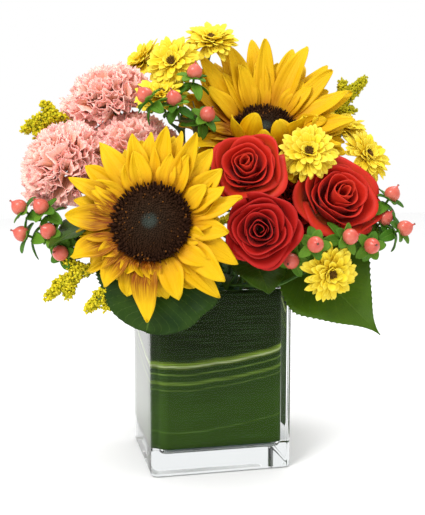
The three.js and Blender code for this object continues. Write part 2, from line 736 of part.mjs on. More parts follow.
// A broad toothed leaf, folded a little along its midrib and arched from base to tip. The larger its point,
// the longer it tapers.
function leafBlade({ length, width, arch, fold, point }) {
  const k = rad(-arch);
  return (along, v) => {
    const u = clamp(along);
    const outline = Math.max(0, Math.sin(Math.PI * (0.1 + 0.9 * u) ** 0.72)) ** point;
    const tooth = Math.round(u * LEAF.teeth) % 2 ? 1.05 : 0.95;
    const half = (width / 2) * outline * tooth;
    const lift = fold * Math.abs(v) * half + 1.5 * Math.sin(7 * u) * Math.abs(v);
    const lobe = 0.22 * width * Math.abs(v) ** 1.5 * Math.max(0, 0.35 - u);
    const x = (length * Math.sin(k * u)) / k - lift * Math.sin(k * u) - lobe;
    return vec(x, v * half, (length * (1 - Math.cos(k * u))) / k + lift * Math.cos(k * u));
  };
}

function leaf(name, { at, towards, length, width, arch = 40, fold = 0.2, roll = 0, point = 0.8 }) {
  const sheet = blade(leafBlade({ length, width, arch, fold, point }), LEAF.teeth, 2, LEAF.thickness);
  const turns = BENDS.slice(0, 7).flatMap((bend) => [0, 8, -8, 16].map((turn) => [bend, turn]));
  const tries = SHIFTS.slice(0, 45).flatMap((shift) => turns.map((turn) => [...turn, ...shift]));
  const axisOf = ([bend, turn]) => facingVector([towards[0] + turn, towards[1] + bend]);
  const baseOf = ([, , ...shift]) => vec(...at).add(vec(...shift));
  const make = (attempt) => moved(sheet, leafMatrix(baseOf(attempt), axisOf(attempt), roll));
  const { solid, attempt } = firstFree(tries, make);
  const axis = axisOf(attempt);
  const foot = baseOf(attempt).addScaledVector(axis, 5);
  leadStem(name, solid, foot, axis, LEAF.petiole, "leaf", { sides: 4, steps: 4 });
}

// ---------------------------------------------------------------- the arrangement
const vaseSolid = vase();
const linerSolid = liner();
placed.set("vase", moved(vaseSolid, toFlowers));
placed.set("liner_leaf", moved(linerSolid, toFlowers));

// Petals of the front sunflower: [angle, reach, lift, curl, width].
const FRONT_PETALS = [
  [15, 70, 8, -6], [25, 61, 18, -8, 0.9], [36, 66, 8, -4], [52, 72, 10, -6], [62, 76, 20, -10, 0.8],
  [72, 74, 10, -6], [84, 75, 18, -8, 0.9], [94, 71, 10, -4], [107, 71, 18, -8], [122, 77, 8, -6],
  [151, 75, 12, -14, 0.7], [160, 66, -2, -10], [175, 68, 10, -20], [204, 68, 8, -34], [217, 63, -4, -30],
  [231, 60, 6, -40], [248, 58, -6, -30], [266, 73, 2, -26], [281, 58, -6, -38], [295, 61, 6, -30],
  [312, 75, -4, -24], [327, 70, 8, -26], [340, 71, -4, -16], [355, 58, 10, -18],
].map(([angle, reach, lift, curl, width]) => ({ angle, reach, lift, curl, width }));

// Petals of the back sunflower: the upper ones stand tall, the lower ones open forward.
const BACK_PETAL_COUNT = 21;
const BACK_PETALS = range(BACK_PETAL_COUNT).map((i) => {
  const angle = (360 * i) / BACK_PETAL_COUNT + (i % 2 ? 3 : -3);
  const up = Math.sin(rad(angle)); // 1 at the top
  const lift = 26 + 8 * up + (i % 2 ? 5 : -5);
  return { angle, reach: 72 + 12 * up + (i % 3), lift, curl: -10, width: 1.25 };
});

const openFront = sunflower("sunflower_front", {
  at: [-42, -76, 200], facing: [-8, 20], disc: 29.5, petals: FRONT_PETALS,
});
const openBack = sunflower("sunflower_back", { at: [46, 8, 270], facing: [4, 42], disc: 25, petals: BACK_PETALS });

rose("rose_upper", { at: [31, -38, 235], facing: [-8, 22], seed: 11, scale: 0.94 });
rose("rose_lower", { at: [39, -54, 193], facing: [-6, 6], seed: 12, scale: 0.94 });
rose("rose_right", { at: [99, -20, 209], facing: [14, 26], seed: 13, scale: 1.15 });
rose("rose_inner", { at: [62, -6, 208], facing: [0, 30], seed: 14 });
rose("rose_back", { at: [58, 66, 228], facing: [155, 30], seed: 15 });

carnation("carnation_top", { at: [-81, 30, 288], facing: [-34, 58], seed: 21, scale: 1.15 });
carnation("carnation_left", { at: [-110, -14, 237], facing: [-44, 26], seed: 22, scale: 1.1 });
carnation("carnation_middle", { at: [-60, 0, 246], facing: [-14, 36], seed: 23, scale: 1.05 });
carnation("carnation_back", { at: [-58, 66, 240], facing: [-150, 35], seed: 24 });

pomSpray("pom_spray_top", {
  fork: [-22, 20, 272],
  blooms: [
    { id: "pom_top", at: [2, 20, 344], facing: [8, 52], seed: 31 },
    { id: "pom_upper_left", at: [-28, 8, 325], facing: [-10, 20], seed: 32 },
    { id: "pom_far_left", at: [-55, 34, 329], facing: [-62, 42], seed: 33 },
    { id: "pom_low_left", at: [-38, 0, 297], facing: [-8, 55], seed: 34 },
  ],
});
pomSpray("pom_spray_right", {
  fork: [98, 12, 226],
  blooms: [
    { id: "pom_centre", at: [79, -20, 252], facing: [0, 22], seed: 35 },
    { id: "pom_right", at: [127, -2, 250], facing: [38, 28], seed: 36 },
    { id: "pom_right_behind", at: [112, 26, 272], facing: [20, 60], seed: 37 },
  ],
});
pomSpray("pom_spray_low", {
  fork: [70, -56, 160],
  blooms: [{ id: "pom_low_right", at: [92, -60, 163], facing: [22, -8], seed: 38 }],
});
pomSpray("pom_spray_back", {
  fork: [4, 62, 212],
  blooms: [{ id: "pom_back", at: [2, 84, 240], facing: [178, 25], seed: 39 }],
});

openFront();
for (const stem of waiting) {
  placed.delete(stem[0]);
  leadStem(...stem);
}
join("pom_spray_right");
openBack();

berrySpray("berries_left", {
  fork: [-98, -36, 184],
  berries: [[-148, -45, 212], [-130, -50, 213], [-147, -45, 191], [-124, -55, 194], [-114, -60, 177]],
});
berrySpray("berries_top", {
  fork: [-18, -12, 272],
  berries: [[-11, -20, 318], [-28, -25, 297], [0, -30, 284], [-52, -15, 300]],
});
berrySpray("berries_right", {
  fork: [118, -26, 188],
  berries: [[146, -30, 222], [140, -35, 203], [155, -40, 195], [126, -55, 182]],
});
berrySpray("berries_front", {
  fork: [76, -36, 190],
  berries: [[80, -75, 185], [109, -62, 190], [62, -66, 171]],
});
berrySpray("berries_back", { fork: [-28, 66, 190], berries: [[-40, 92, 200], [-22, 96, 206]] });

goldenrod("goldenrod_upper_left", { root: [-119, 0, 282], tip: [-152, 0, 271] });
goldenrod("goldenrod_upper_right", { root: [103, 30, 286], tip: [133, 36, 316], droop: 0 });
goldenrod("goldenrod_lower_left", { root: [-90, -55, 165], tip: [-125, -55, 141] });
goldenrod("goldenrod_rim_left", { root: [-60, -68, 158], tip: [-92, -68, 134] });
goldenrod("goldenrod_rim_middle", { root: [-32, -62, 154], tip: [-8, -68, 136] });
goldenrod("goldenrod_back", { root: [20, 84, 196], tip: [44, 100, 180] });

leaf("leaf_front_right", {
  at: [78, -17, 171], towards: [52, -43], length: 89, width: 77, arch: 5, fold: 0.31, roll: 51, point: 1.6,
});
join("goldenrod_upper_right", "pom_spray_low", "berries_front");
leaf("leaf_front_left", {
  at: [-42, -56, 174], towards: [-14, -56], length: 62, width: 94, arch: 53, fold: 0.1, roll: -18, point: 0.46,
});
join("berries_right", "pom_spray_top", "berries_top", "berries_left");
join("goldenrod_upper_left", "goldenrod_lower_left", "goldenrod_rim_left", "goldenrod_rim_middle");
join("pom_spray_back", "berries_back", "goldenrod_back");

leaf("leaf_left", { at: [-84, -24, 196], towards: [-60, -6], length: 56, width: 44 });
leaf("leaf_rim_left", { at: [-62, -10, 174], towards: [-100, -8], length: 40, width: 38 });
leaf("leaf_rim_front", { at: [26, -30, 176], towards: [10, -14], length: 46, width: 48 });
leaf("leaf_back_left", { at: [-56, 50, 178], towards: [-140, -20], length: 74, width: 60 });
leaf("leaf_back_right", { at: [62, 46, 176], towards: [140, -18], length: 78, width: 60 });
leaf("leaf_back", { at: [2, 62, 168], towards: [180, -30], length: 66, width: 60 });

const arrangement = new THREE.Group();
add(arrangement, "vase", vaseSolid, "glass");
add(arrangement, "liner_leaf", linerSolid, "liner");
add(arrangement, "foam_block", foam(), "foam");
arrangement.add(flowers);

export default arrangement;
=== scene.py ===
"""The fine model of a flower arrangement in a lined glass vase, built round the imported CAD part.

Shapes are worked out in millimetres and stored in metres, +Z up. The flowers are laid out in a frame
turned about Z against the vase, as in the CAD part. A bloom faces [turn, tilt] in degrees: turn to the
viewer's right and tilt above the horizon. Each petal, floret and leaf is a closed surface of its own.
"""

from math import cos, exp, pi, radians, sin, sqrt

import bmesh
import bpy
import numpy as np
from mathutils import Matrix


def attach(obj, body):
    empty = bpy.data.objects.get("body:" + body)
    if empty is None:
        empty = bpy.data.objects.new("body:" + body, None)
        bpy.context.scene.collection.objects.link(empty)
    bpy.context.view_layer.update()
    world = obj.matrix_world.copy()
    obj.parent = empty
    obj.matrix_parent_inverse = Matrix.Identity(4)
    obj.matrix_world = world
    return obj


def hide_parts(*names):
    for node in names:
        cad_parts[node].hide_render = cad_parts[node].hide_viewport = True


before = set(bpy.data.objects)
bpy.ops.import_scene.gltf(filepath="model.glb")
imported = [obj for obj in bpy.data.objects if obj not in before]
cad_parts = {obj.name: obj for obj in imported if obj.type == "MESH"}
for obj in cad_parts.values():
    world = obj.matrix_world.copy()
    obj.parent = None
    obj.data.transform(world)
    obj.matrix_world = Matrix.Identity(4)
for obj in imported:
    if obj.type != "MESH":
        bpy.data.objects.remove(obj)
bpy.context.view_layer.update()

MM = 0.001
SAME_PLACE = 0.02 * MM  # vertices of a CAD node closer than this are joined
TAU = 2 * pi
GOLDEN = TAU * 0.381966  # the angle between one petal and the next in a spiral
UP = np.array([0.0, 0.0, 1.0])

FLOWERS_TURN = radians(-12.7)  # about Z, against the vase
EYE = (3, -723, 249)  # the viewer, in the flowers' frame
EYE_PITCH = 6.5  # degrees that the view looks down
LENS, SENSOR = 61.2, 36  # the sensor lies along the photo's long side

VASE = {
    "width": 114, "depth": 102, "height": 146, "wall": 7, "floor": 16, "corner": 6, "inner_corner": 8,
}
# The wet leaf clings to the glass, 0.1 mm into its inner faces.
LINER = {"width": 100.2, "depth": 88.2, "thickness": 0.9, "foot": 20.5, "top": 143, "corner": 8.1}


# ---- places
def outward(angle):
    """The direction at an angle round z, or one for each of many angles."""
    return np.stack([np.cos(angle), np.sin(angle), np.zeros_like(angle)], -1)


TO_ROW = np.column_stack([outward(FLOWERS_TURN), outward(FLOWERS_TURN + pi / 2), UP])


def row(point):
    """A point or direction of the flowers' frame, in the row's frame."""
    return TO_ROW @ np.array(point, float)


def unit(vector):
    return vector / np.linalg.norm(vector)


def circle(sides):
    return outward(TAU * np.arange(sides) / sides)


def facing_axis(turn, tilt):
    a, e = radians(turn), radians(tilt)
    return row((sin(a) * cos(e), -cos(a) * cos(e), sin(e)))


def axes_along(axis):
    """Columns x, y, z of a bloom whose z is the axis and whose y is up as the viewer sees it."""
    x = unit(np.cross(UP, axis))
    return np.column_stack([x, np.cross(axis, x), axis])


def draws(seed):
    """A function that draws random numbers between two bounds."""
    return np.random.default_rng(seed).uniform


class Pose:
    """Takes a bloom's own points to the row's frame."""

    def __init__(self, origin, axes, scale=1.0):
        self.origin, self.axes, self.scale = np.asarray(origin, float), axes, scale

    def __call__(self, points):
        return self.origin + (points * self.scale) @ self.axes.T


def node_points(name):
    """The vertices of a CAD node, in millimetres."""
    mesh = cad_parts[name].data
    points = np.empty(len(mesh.vertices) * 3)
    mesh.vertices.foreach_get("co", points)
    return points.reshape(-1, 3) / MM


def head_pose(node, facing, scale=1.0):
    """The pose of a bloom whose CAD head lies round its axis and rises from its origin."""
    axes = axes_along(facing_axis(*facing))
    own = node_points(node) @ axes
    foot = (own.min(0) + own.max(0)) / 2
    foot[2] = own[:, 2].min()
    return Pose(axes @ foot, axes, scale)


# ---- mesh building
class Piece:
    """Many small surfaces that make up one object."""

    def __init__(self):
        self.points, self.uvs, self.tints, self.faces, self.count = [], [], [], [], 0

    def add(self, points, faces, uvs, tint):
        self.faces.extend((np.asarray(faces) + self.count).tolist())
        self.points.append(points)
        self.uvs.append(uvs)
        self.tints.append(np.full(len(points), tint))
        self.count += len(points)

    def build(self, name, material, slot, *nodes):
        """Makes the object, which stands for the CAD nodes and rides on the part's one body."""
        mesh = bpy.data.meshes.new(name)
        mesh.from_pydata((np.concatenate(self.points) * MM).tolist(), [], self.faces)
        corners = np.empty(len(mesh.loops), int)
        mesh.loops.foreach_get("vertex_index", corners)
        layer = mesh.uv_layers.new(name="UVMap")
        layer.data.foreach_set("uv", np.concatenate(self.uvs)[corners].ravel())
        tint = mesh.attributes.new("tint", "FLOAT", "POINT")
        tint.data.foreach_set("value", np.concatenate(self.tints))
        mesh.shade_smooth()
        return settle(link(name, mesh), material, slot, *nodes)


def link(name, data):
    """An object of the scene that shows the data."""
    thing = bpy.data.objects.new(name, data)
    bpy.context.scene.collection.objects.link(thing)
    return thing


def grid(u, v):
    return np.meshgrid(u, v, indexing="ij")


def settle(piece, material, slot, *nodes):
    piece.data.materials.clear()
    piece.data.materials.append(material)
    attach(piece, "root")
    if nodes:
        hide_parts(*nodes)
    return piece


def sheet(piece, surface, rows, columns, thickness, pose, tint):
    """Adds a closed thin sheet along surface(u, v): u from 0 to 1 along it, v from -1 to 1 across it."""
    u, v = grid(np.linspace(0, 1, rows + 1), np.linspace(-1, 1, columns + 1))
    middle = surface(u, v)
    normal = np.cross(np.gradient(middle, axis=0), np.gradient(middle, axis=1))
    normal *= thickness / 2 / (np.linalg.norm(normal, axis=2, keepdims=True) + 1e-12)
    points = np.concatenate([(middle + normal).reshape(-1, 3), (middle - normal).reshape(-1, 3)])
    uv = np.tile(np.stack([(v + 1) / 2, u], -1).reshape(-1, 2), (2, 1))
    under = u.size
    ids = np.arange(under).reshape(u.shape)
    top = np.stack([ids[:-1, :-1], ids[1:, :-1], ids[1:, 1:], ids[:-1, 1:]], -1).reshape(-1, 4)
    edge = np.concatenate([ids[:-1, 0], ids[-1, :-1], ids[:0:-1, -1], ids[0, :0:-1]])
    ahead = np.roll(edge, -1)
    rim = np.stack([ahead, edge, edge + under, ahead + under], -1)
    piece.add(pose(points), np.concatenate([top, top[:, ::-1] + under, rim]), uv, tint)


def loft(piece, rings, pose, tint=0.5, uvs=None, ends=True):
    """Adds a closed body through rings of points, (rings, points, 3).

    Faces close its two ends, or else its last ring is joined to the first.
    """
    count, around = rings.shape[:2]
    ids = np.arange(count * around).reshape(count, around)
    ahead = np.roll(ids, -1, axis=1)
    faces = np.stack([ids, ahead, np.roll(ahead, -1, axis=0), np.roll(ids, -1, axis=0)], -1)
    faces = faces[: count - ends].reshape(-1, 4)
    if uvs is None:
        across, along = np.meshgrid(np.arange(around) / around, np.arange(count) / (count - 1))
        uvs = np.stack([across, along], -1)
    first = piece.count
    piece.add(pose(rings.reshape(-1, 3)), faces, uvs.reshape(-1, 2), tint)
    if ends:
        piece.faces.extend([(ids[0][::-1] + first).tolist(), (ids[-1] + first).tolist()])
    return piece


def lathe(piece, profile, sides, pose, tint=0.5, across=None):
    """Adds a body of revolution round the pose's z from (radius, height) points.

    Its UV runs round and along it, or else is the share given for each point in across, and 0.2.
    """
    rings = np.array([circle(sides) * max(r, 0.02) + UP * z for r, z in profile])
    uvs = None if across is None else np.array([[[share, 0.2]] * sides for share in across])
    loft(piece, rings, pose, tint, uvs)


def fine_copy(name, material, slot, node, keep=None, levels=2):
    """A smooth copy of a CAD node, or of the part of it that keep(points) marks, in millimetres."""
    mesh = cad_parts[node].data.copy()
    form = bmesh.new()
    form.from_mesh(mesh)
    bmesh.ops.remove_doubles(form, verts=form.verts, dist=SAME_PLACE)
    if keep is not None:
        kept = keep(np.array([v.co for v in form.verts]) / MM)
        gone = [v for v, stays in zip(form.verts, kept) if not stays]
        bmesh.ops.delete(form, geom=gone, context="VERTS")
    form.to_mesh(mesh)
    form.free()
    piece = link(name, mesh)
    smooth = piece.modifiers.new("smooth", "SUBSURF")
    smooth.levels = smooth.render_levels = levels
    evaluated = piece.evaluated_get(bpy.context.evaluated_depsgraph_get())
    piece.data = bpy.data.meshes.new_from_object(evaluated)
    piece.modifiers.clear()
    piece.data.shade_smooth()
    return settle(piece, material, slot, node)


# ---- materials
class Shader:
    """A procedural material on the Principled shader. A colour is linear (red, green, blue)."""

    def __init__(self, name, roughness, specular=0.5, **sockets):
        self.material = bpy.data.materials.new(name)
        self.material.use_nodes = True
        self.tree = self.material.node_tree
        self.surface = self.tree.nodes["Principled BSDF"]
        sockets.update({"Roughness": roughness, "Specular IOR Level": specular})
        for socket, value in sockets.items():
            self.surface.inputs[socket.replace("_", " ")].default_value = value

    def add(self, kind, inputs=None, **settings):
        node = self.tree.nodes.new("ShaderNode" + kind)
        for key, value in settings.items():
            setattr(node, key, value)
        for key, value in (inputs or {}).items():
            if isinstance(value, bpy.types.NodeSocket):
                self.tree.links.new(value, node.inputs[key])
            else:
                node.inputs[key].default_value = value
        return node

    def places(self):
        """The UV and its two parts: across a petal or leaf, and along it."""
        uv = self.add("TexCoord").outputs["UV"]
        across, along, _ = self.add("SeparateXYZ", {0: uv}).outputs
        return uv, across, along

    def tint(self):
        """The number that each petal, floret or leaf carries."""
        return self.add("Attribute", attribute_name="tint").outputs["Fac"]

    def math(self, operation, a, b=0.0):
        return self.add("Math", {0: a, 1: b}, operation=operation).outputs[0]

    def times(self, a, b):
        return self.math("MULTIPLY", a, b)

    def plus(self, a, b):
        return self.math("ADD", a, b)

    def minus(self, a, b):
        return self.math("SUBTRACT", a, b)

    def size(self, value):
        return self.math("ABSOLUTE", value)

    def ridges(self, across, rate):
        return self.math("SINE", self.times(across, rate))

    def swayed(self, value, noise, amount):
        """The value, moved up and down by a noise round 0.5."""
        return self.plus(value, self.times(self.minus(noise, 0.5), amount))

    def noise(self, vector, stretch, scale, detail=3.0):
        moved = self.add("Mapping", {"Vector": vector, "Scale": stretch})
        inputs = {"Vector": moved.outputs[0], "Scale": scale, "Detail": detail}
        return self.add("TexNoise", inputs).outputs[0]

    def grain(self, scale, detail=3.0, upright=1):
        """Noise all through the object; upright below 1 stretches it along Z."""
        return self.noise(self.add("TexCoord").outputs["Object"], (1, 1, upright), scale, detail)

    def ramp(self, factor, *stops):
        """A colour by the factor, through stops of (factor, red, green, blue)."""
        node = self.add("ValToRGB", {0: factor})
        elements = node.color_ramp.elements
        while len(elements) < len(stops):
            elements.new(0.5)
        for element, (position, *colour) in zip(elements, stops):
            element.position = position
            element.color = (*colour, 1)
        return node.outputs[0]

    def level(self, factor, low, high):
        """Factor rescaled so that low becomes 0 and high becomes 1, held between them."""
        return self.add("MapRange", {0: factor, 1: low, 2: high, 3: 0.0, 4: 1.0}).outputs[0]

    def mix(self, share, colour, tone):
        inputs = {0: share, 6: colour, 7: (*tone, 1)}
        return self.add("Mix", inputs, data_type="RGBA", blend_type="MIX").outputs[2]

    def cover(self, colour, factor, low, high, share, tone):
        """The colour under a share of the tone, which comes in as the factor goes from low to high."""
        return self.mix(self.times(self.level(factor, low, high), share), colour, tone)

    def finish(self, colour, height=None, distance=0.0, strength=0.0):
        """Links the colour, and bumps of so many millimetres along the height."""
        self.tree.links.new(colour, self.surface.inputs["Base Color"])
        if height is not None:
            inputs = {"Height": height, "Distance": distance * MM, "Strength": strength}
            self.tree.links.new(self.add("Bump", inputs).outputs[0], self.surface.inputs["Normal"])
        return self.material


def sunflower_petal_material():
    s = Shader("sunflower_petal", 0.5, 0.12)
    uv, across, along = s.places()
    streak = s.noise(uv, (14, 0.7, 1), 4, 4)
    colour = s.ramp(
        s.swayed(along, streak, 0.35),
        (0, 0.26, 0.065, 0.001), (0.14, 0.5, 0.19, 0.001), (0.4, 0.66, 0.34, 0.002),
        (0.75, 0.7, 0.41, 0.003), (1, 0.72, 0.47, 0.006),
    )
    colour = s.cover(colour, s.grain(60), 0.35, 0.75, 0.3, (0.76, 0.53, 0.01))
    # Petals with a tint above a half are smeared brown towards the disc.
    smear = s.times(s.level(s.tint(), 0.5, 0.62), s.level(along, 0.72, 0.36))
    colour = s.cover(colour, streak, 0.34, 0.54, smear, (0.17, 0.022, 0.001))
    return s.finish(colour, s.plus(s.times(s.ridges(across, 38), 0.5), streak), 0.35, 0.55)


def sunflower_disc_material():
    s = Shader("sunflower_disc", 0.8, 0.1)
    _, from_middle, up = s.places()
    colour = s.ramp(
        from_middle,
        (0, 0.045, 0.06, 0.05), (0.15, 0.034, 0.042, 0.034), (0.24, 0.024, 0.013, 0.006),
        (0.72, 0.027, 0.01, 0.003), (0.93, 0.02, 0.006, 0.002), (1, 0.036, 0.011, 0.002),
    )
    speck = s.times(s.level(s.tint(), 0.86, 0.96), s.level(up, 0.35, 0.8))
    colour = s.mix(s.times(speck, 0.75), colour, (0.26, 0.09, 0.012))
    grain = s.grain(900)
    colour = s.cover(colour, grain, 0.45, 0.8, 0.5, (0.045, 0.016, 0.006))
    return s.finish(colour, grain, 0.3, 0.5)


def rose_petal_material(name, deep, body, edge, heart, highlight_tone):
    """A petal's tint goes from 0 at the heart to 1 at the outside, where the outer petals carry pale
    patches of painted highlight.
    """
    s = Shader(name, 0.5, 0.15, Sheen_Weight=0.04, Sheen_Roughness=0.4)
    uv, _, along = s.places()
    vein = s.noise(uv, (9, 1, 1), 5, 4)
    # Painted light: each petal is painted darker towards its base as shade deep in the bloom, and
    # lighter at its rim as a painted highlight.
    colour = s.ramp(s.plus(along, s.times(vein, 0.12)), (0.15, *deep), (0.7, *body), (1, *edge))
    colour = s.cover(colour, s.tint(), 0.42, 0, 0.75, heart)
    # Painted highlight: pale patches on the lower parts of the outer petals, where they catch the light.
    patch = s.level(s.noise(uv, (1.5, 1.2, 1), 2), 0.38, 0.55)
    lit = s.times(s.level(s.tint(), 0.7, 0.85), patch)
    colour = s.cover(colour, along, 0.95, 0.3, lit, highlight_tone)
    return s.finish(colour, s.plus(vein, s.times(s.grain(700), 0.4)), 0.25, 0.5)


def carnation_petal_material():
    s = Shader("carnation_petal", 0.62, 0.1)
    uv, _, along = s.places()
    fan = s.noise(uv, (16, 1.2, 1), 4, 4)
    colour = s.ramp(
        s.swayed(along, fan, 0.25),
        (0, 0.98, 0.38, 0.17), (0.4, 0.98, 0.52, 0.34), (0.75, 0.98, 0.64, 0.49), (1, 0.98, 0.7, 0.58),
    )
    flush = s.times(s.level(along, 0.72, 0.97), s.level(s.noise(uv, (22, 3, 1), 5), 0.42, 0.58))
    colour = s.mix(s.times(flush, 0.8), colour, (0.84, 0.12, 0.17))
    colour = s.cover(colour, s.tint(), 0.4, 1, 0.35, (0.98, 0.78, 0.66))
    return s.finish(colour, fan, 0.3, 0.5)


def pom_petal_material():
    s = Shader("chrysanthemum_petal", 0.5, 0.12)
    uv, across, along = s.places()
    streak = s.noise(uv, (10, 0.8, 1), 4)
    colour = s.ramp(
        s.swayed(along, streak, 0.3),
        (0, 0.72, 0.44, 0.005), (0.3, 0.82, 0.57, 0.01), (0.8, 0.85, 0.64, 0.024), (1, 0.88, 0.71, 0.07),
    )
    colour = s.mix(s.times(s.tint(), 0.3), colour, (0.9, 0.76, 0.11))
    return s.finish(colour, s.plus(streak, s.times(s.ridges(across, 25), 0.4)), 0.25, 0.5)


def goldenrod_material():
    s = Shader("goldenrod", 0.7, 0.1)
    grain = s.grain(500)
    colour = s.ramp(
        s.plus(s.times(s.tint(), 0.75), s.times(grain, 0.25)),
        (0, 0.24, 0.26, 0.01), (0.35, 0.55, 0.48, 0.012),
        (0.75, 0.76, 0.62, 0.02), (1, 0.84, 0.72, 0.07),
    )
    return s.finish(colour, grain, 0.3, 0.5)


def grainy_material(name, low, high, roughness):
    s = Shader(name, roughness, 0.2)
    grain = s.grain(900, 5)
    return s.finish(s.ramp(grain, (0.3, *low), (0.7, *high)), grain, 0.3, 0.6)


def stem_material(name, low, high):
    s = Shader(name, 0.5, 0.25)
    fibre = s.grain(420, 4, 0.12)
    mottle = s.plus(s.times(fibre, 0.5), s.times(s.grain(45), 0.5))
    return s.finish(s.ramp(mottle, (0.3, *low), (0.72, *high)), fibre, 0.25, 0.6)


def berry_material():
    s = Shader("berry", 0.25, 0.4)
    _, _, along = s.places()
    mottle = s.grain(220)
    colour = s.ramp(
        along,
        (0, 0.66, 0.3, 0.16), (0.25, 0.58, 0.12, 0.075), (0.66, 0.54, 0.065, 0.045),
        (0.88, 0.34, 0.03, 0.02), (0.94, 0.05, 0.02, 0.01),
    )
    colour = s.cover(colour, mottle, 0.4, 0.7, 0.35, (0.7, 0.24, 0.17))
    return s.finish(colour, mottle, 0.15, 0.3)


def leaf_material(name, low, high, vein_colour, veins=13, roughness=0.38):
    """A leaf with a midrib and side veins that run forward from it, by its UV."""
    s = Shader(name, roughness, 0.12)
    uv, across, along = s.places()
    off = s.size(s.minus(across, 0.5))
    slant = s.minus(along, s.times(off, 0.55))
    side = s.level(s.size(s.ridges(slant, veins * pi)), 0.14, 0)
    veined = s.math("MAXIMUM", s.times(side, 0.55), s.level(off, 0.022, 0.004))
    network = s.noise(uv, (1, 1, 1), 38, 5)
    patch = s.times(s.plus(s.grain(40), s.tint()), 0.5)
    colour = s.mix(s.times(veined, 0.55), s.ramp(patch, (0.22, *low), (0.75, *high)), vein_colour)
    colour = s.cover(colour, network, 0.45, 0.7, 0.18, (0.02, 0.05, 0.01))
    return s.finish(colour, s.minus(s.times(network, 0.5), veined), 0.5, 0.6)


# Pale stripes of the wrapped leaf: [height, half width, strength, colour], in units of 100 mm.
LINER_STRIPES = (
    (0.89, 0.036, 1, (0.4, 0.6, 0.06)),
    (0.88, 0.012, 1, (0.85, 0.9, 0.5)),
    (0.815, 0.01, 0.7, (0.3, 0.5, 0.07)),
    (0.745, 0.02, 0.8, (0.3, 0.48, 0.06)),
    (0.69, 0.008, 0.5, (0.25, 0.42, 0.06)),
    (0.35, 0.01, 0.4, (0.2, 0.38, 0.05)),
)


def liner_material():
    """The wrapped leaf: fine veins along it, with stripes that climb as they go round the vase."""
    s = Shader("liner_leaf", 0.6, 0.1)
    uv, round_way, height = s.places()  # in 100 mm: along the wall from the front's middle, and up
    arch = s.times(s.math("POWER", s.size(round_way), 2), 0.18)
    level = s.minus(s.minus(height, arch), s.times(round_way, 0.1))
    level = s.swayed(level, s.noise(uv, (1, 0.2, 1), 3), 0.05)
    vein = s.noise(uv, (0.8, 55, 1), 3, 5)
    colour = s.ramp(
        level,
        (0.15, 0.04, 0.095, 0.006), (0.5, 0.046, 0.105, 0.008), (0.8, 0.032, 0.07, 0.008),
        (1, 0.018, 0.034, 0.004),
    )
    colour = s.cover(colour, vein, 0.5, 0.68, 0.32, (0.09, 0.22, 0.05))
    for middle, width, strength, tone in LINER_STRIPES:
        edge = s.times(s.level(s.size(s.minus(level, middle)), width, width * 0.25), strength)
        colour = s.cover(colour, vein, 0.3, 0.62, edge, tone)
    return s.finish(colour, vein, 0.4, 0.6)


def glass_material():
    s = Shader("glass", 0, IOR=1.5, Transmission_Weight=1)
    s.surface.inputs["Specular Tint"].default_value = (0.12, 0.12, 0.12, 1)  # keeps the dark leaf clear
    ripple = s.grain(30, 1, 0.6)
    tone = s.ramp(ripple, (0, 0.84, 0.865, 0.87), (1, 0.88, 0.9, 0.905))
    return s.finish(tone, ripple, 0.4, 0.12)


# ---- petals and leaves
def strap(angle, root, length, width, lift, curl, *, neck, tip, blunt, z=0.0, cup=0.12,
          twist=0.0, wave=0.0, ribs=0.0, phase=0.0, bow=0.0):
    """The surface of a petal that leaves radius root with a lift and bends on by curl degrees.

    Neck is the width's share at the root; tip and blunt shape the end; cup, wave and ribs raise the
    blade off its midrib; twist turns it in degrees and bow leads it aside.
    """
    phi, a0 = radians(angle), radians(lift)
    k = radians(curl) or 1e-4
    out, side = outward(phi), outward(phi + pi / 2)

    def surface(u, v):
        a = a0 + k * u
        r = root + length * (np.sin(a) - sin(a0)) / k
        h = z + length * (cos(a0) - np.cos(a)) / k
        swell = neck + (1 - neck) * np.sin(np.minimum(1, u / 0.5) * pi / 2)
        half = width / 2 * (1 - 0.985 * u**tip) ** blunt * swell
        raised = cup * width * v * v * (1 - u) * u * 4 + ribs * np.cos(3 * pi * v) * np.sin(pi * u)
        raised += wave * v * v * u * np.sin(TAU * (1.4 * u + phase))
        t = radians(twist) * u
        s = v * half * np.cos(t) - raised * np.sin(t) + bow * u * u
        n = v * half * np.sin(t) + raised * np.cos(t)
        r, h = r - n * np.sin(a), h + n * np.cos(a)
        return r[..., None] * out + s[..., None] * side + h[..., None] * UP

    return surface


SUNFLOWER = {"dome": 11, "petal_width": 22.5, "petal_thickness": 0.5, "florets": 900, "bracts": 26}
BACK_PETALS = 30
# Where on the disc's axis petals start: the drawn ones, those behind them and those before them.
PETAL_Z, BEHIND_Z, BEFORE_Z = -1.2, -2.4, -0.4
SMEARED = (150, 290)  # angles between which petals are smeared brown
# Petals of the front sunflower: [angle, reach, lift, curl, width].
FRONT_PETALS = [
    (15, 70, 8, -6, 1), (25, 61, 18, -8, 0.9), (36, 66, 8, -4, 1), (52, 72, 10, -6, 1),
    (62, 76, 20, -10, 0.8), (72, 74, 10, -6, 1), (84, 75, 18, -8, 0.9), (94, 71, 10, -4, 1),
    (107, 71, 18, -8, 1), (122, 77, 8, -6, 1), (151, 75, 12, -14, 0.7), (160, 66, -2, -10, 1),
    (175, 68, 10, -20, 1), (204, 68, 8, -34, 1), (217, 63, -4, -30, 1), (231, 60, 6, -40, 1),
    (248, 58, -6, -30, 1), (266, 73, 2, -26, 1), (281, 58, -6, -38, 1), (295, 61, 6, -30, 1),
    (312, 75, -4, -24, 1), (327, 70, 8, -26, 1), (340, 71, -4, -16, 1), (355, 58, 10, -18, 1),
]
# Petals that stand up before the back sunflower's disc and curl over it: [angle, length, lift, curl].
CURLED_PETALS = (
    (214, 40, 52, 40), (232, 42, 68, 50), (250, 30, 58, 60), (276, 24, 50, 60), (300, 36, 66, 62),
    (318, 38, 60, 40), (336, 40, 46, 36),
)


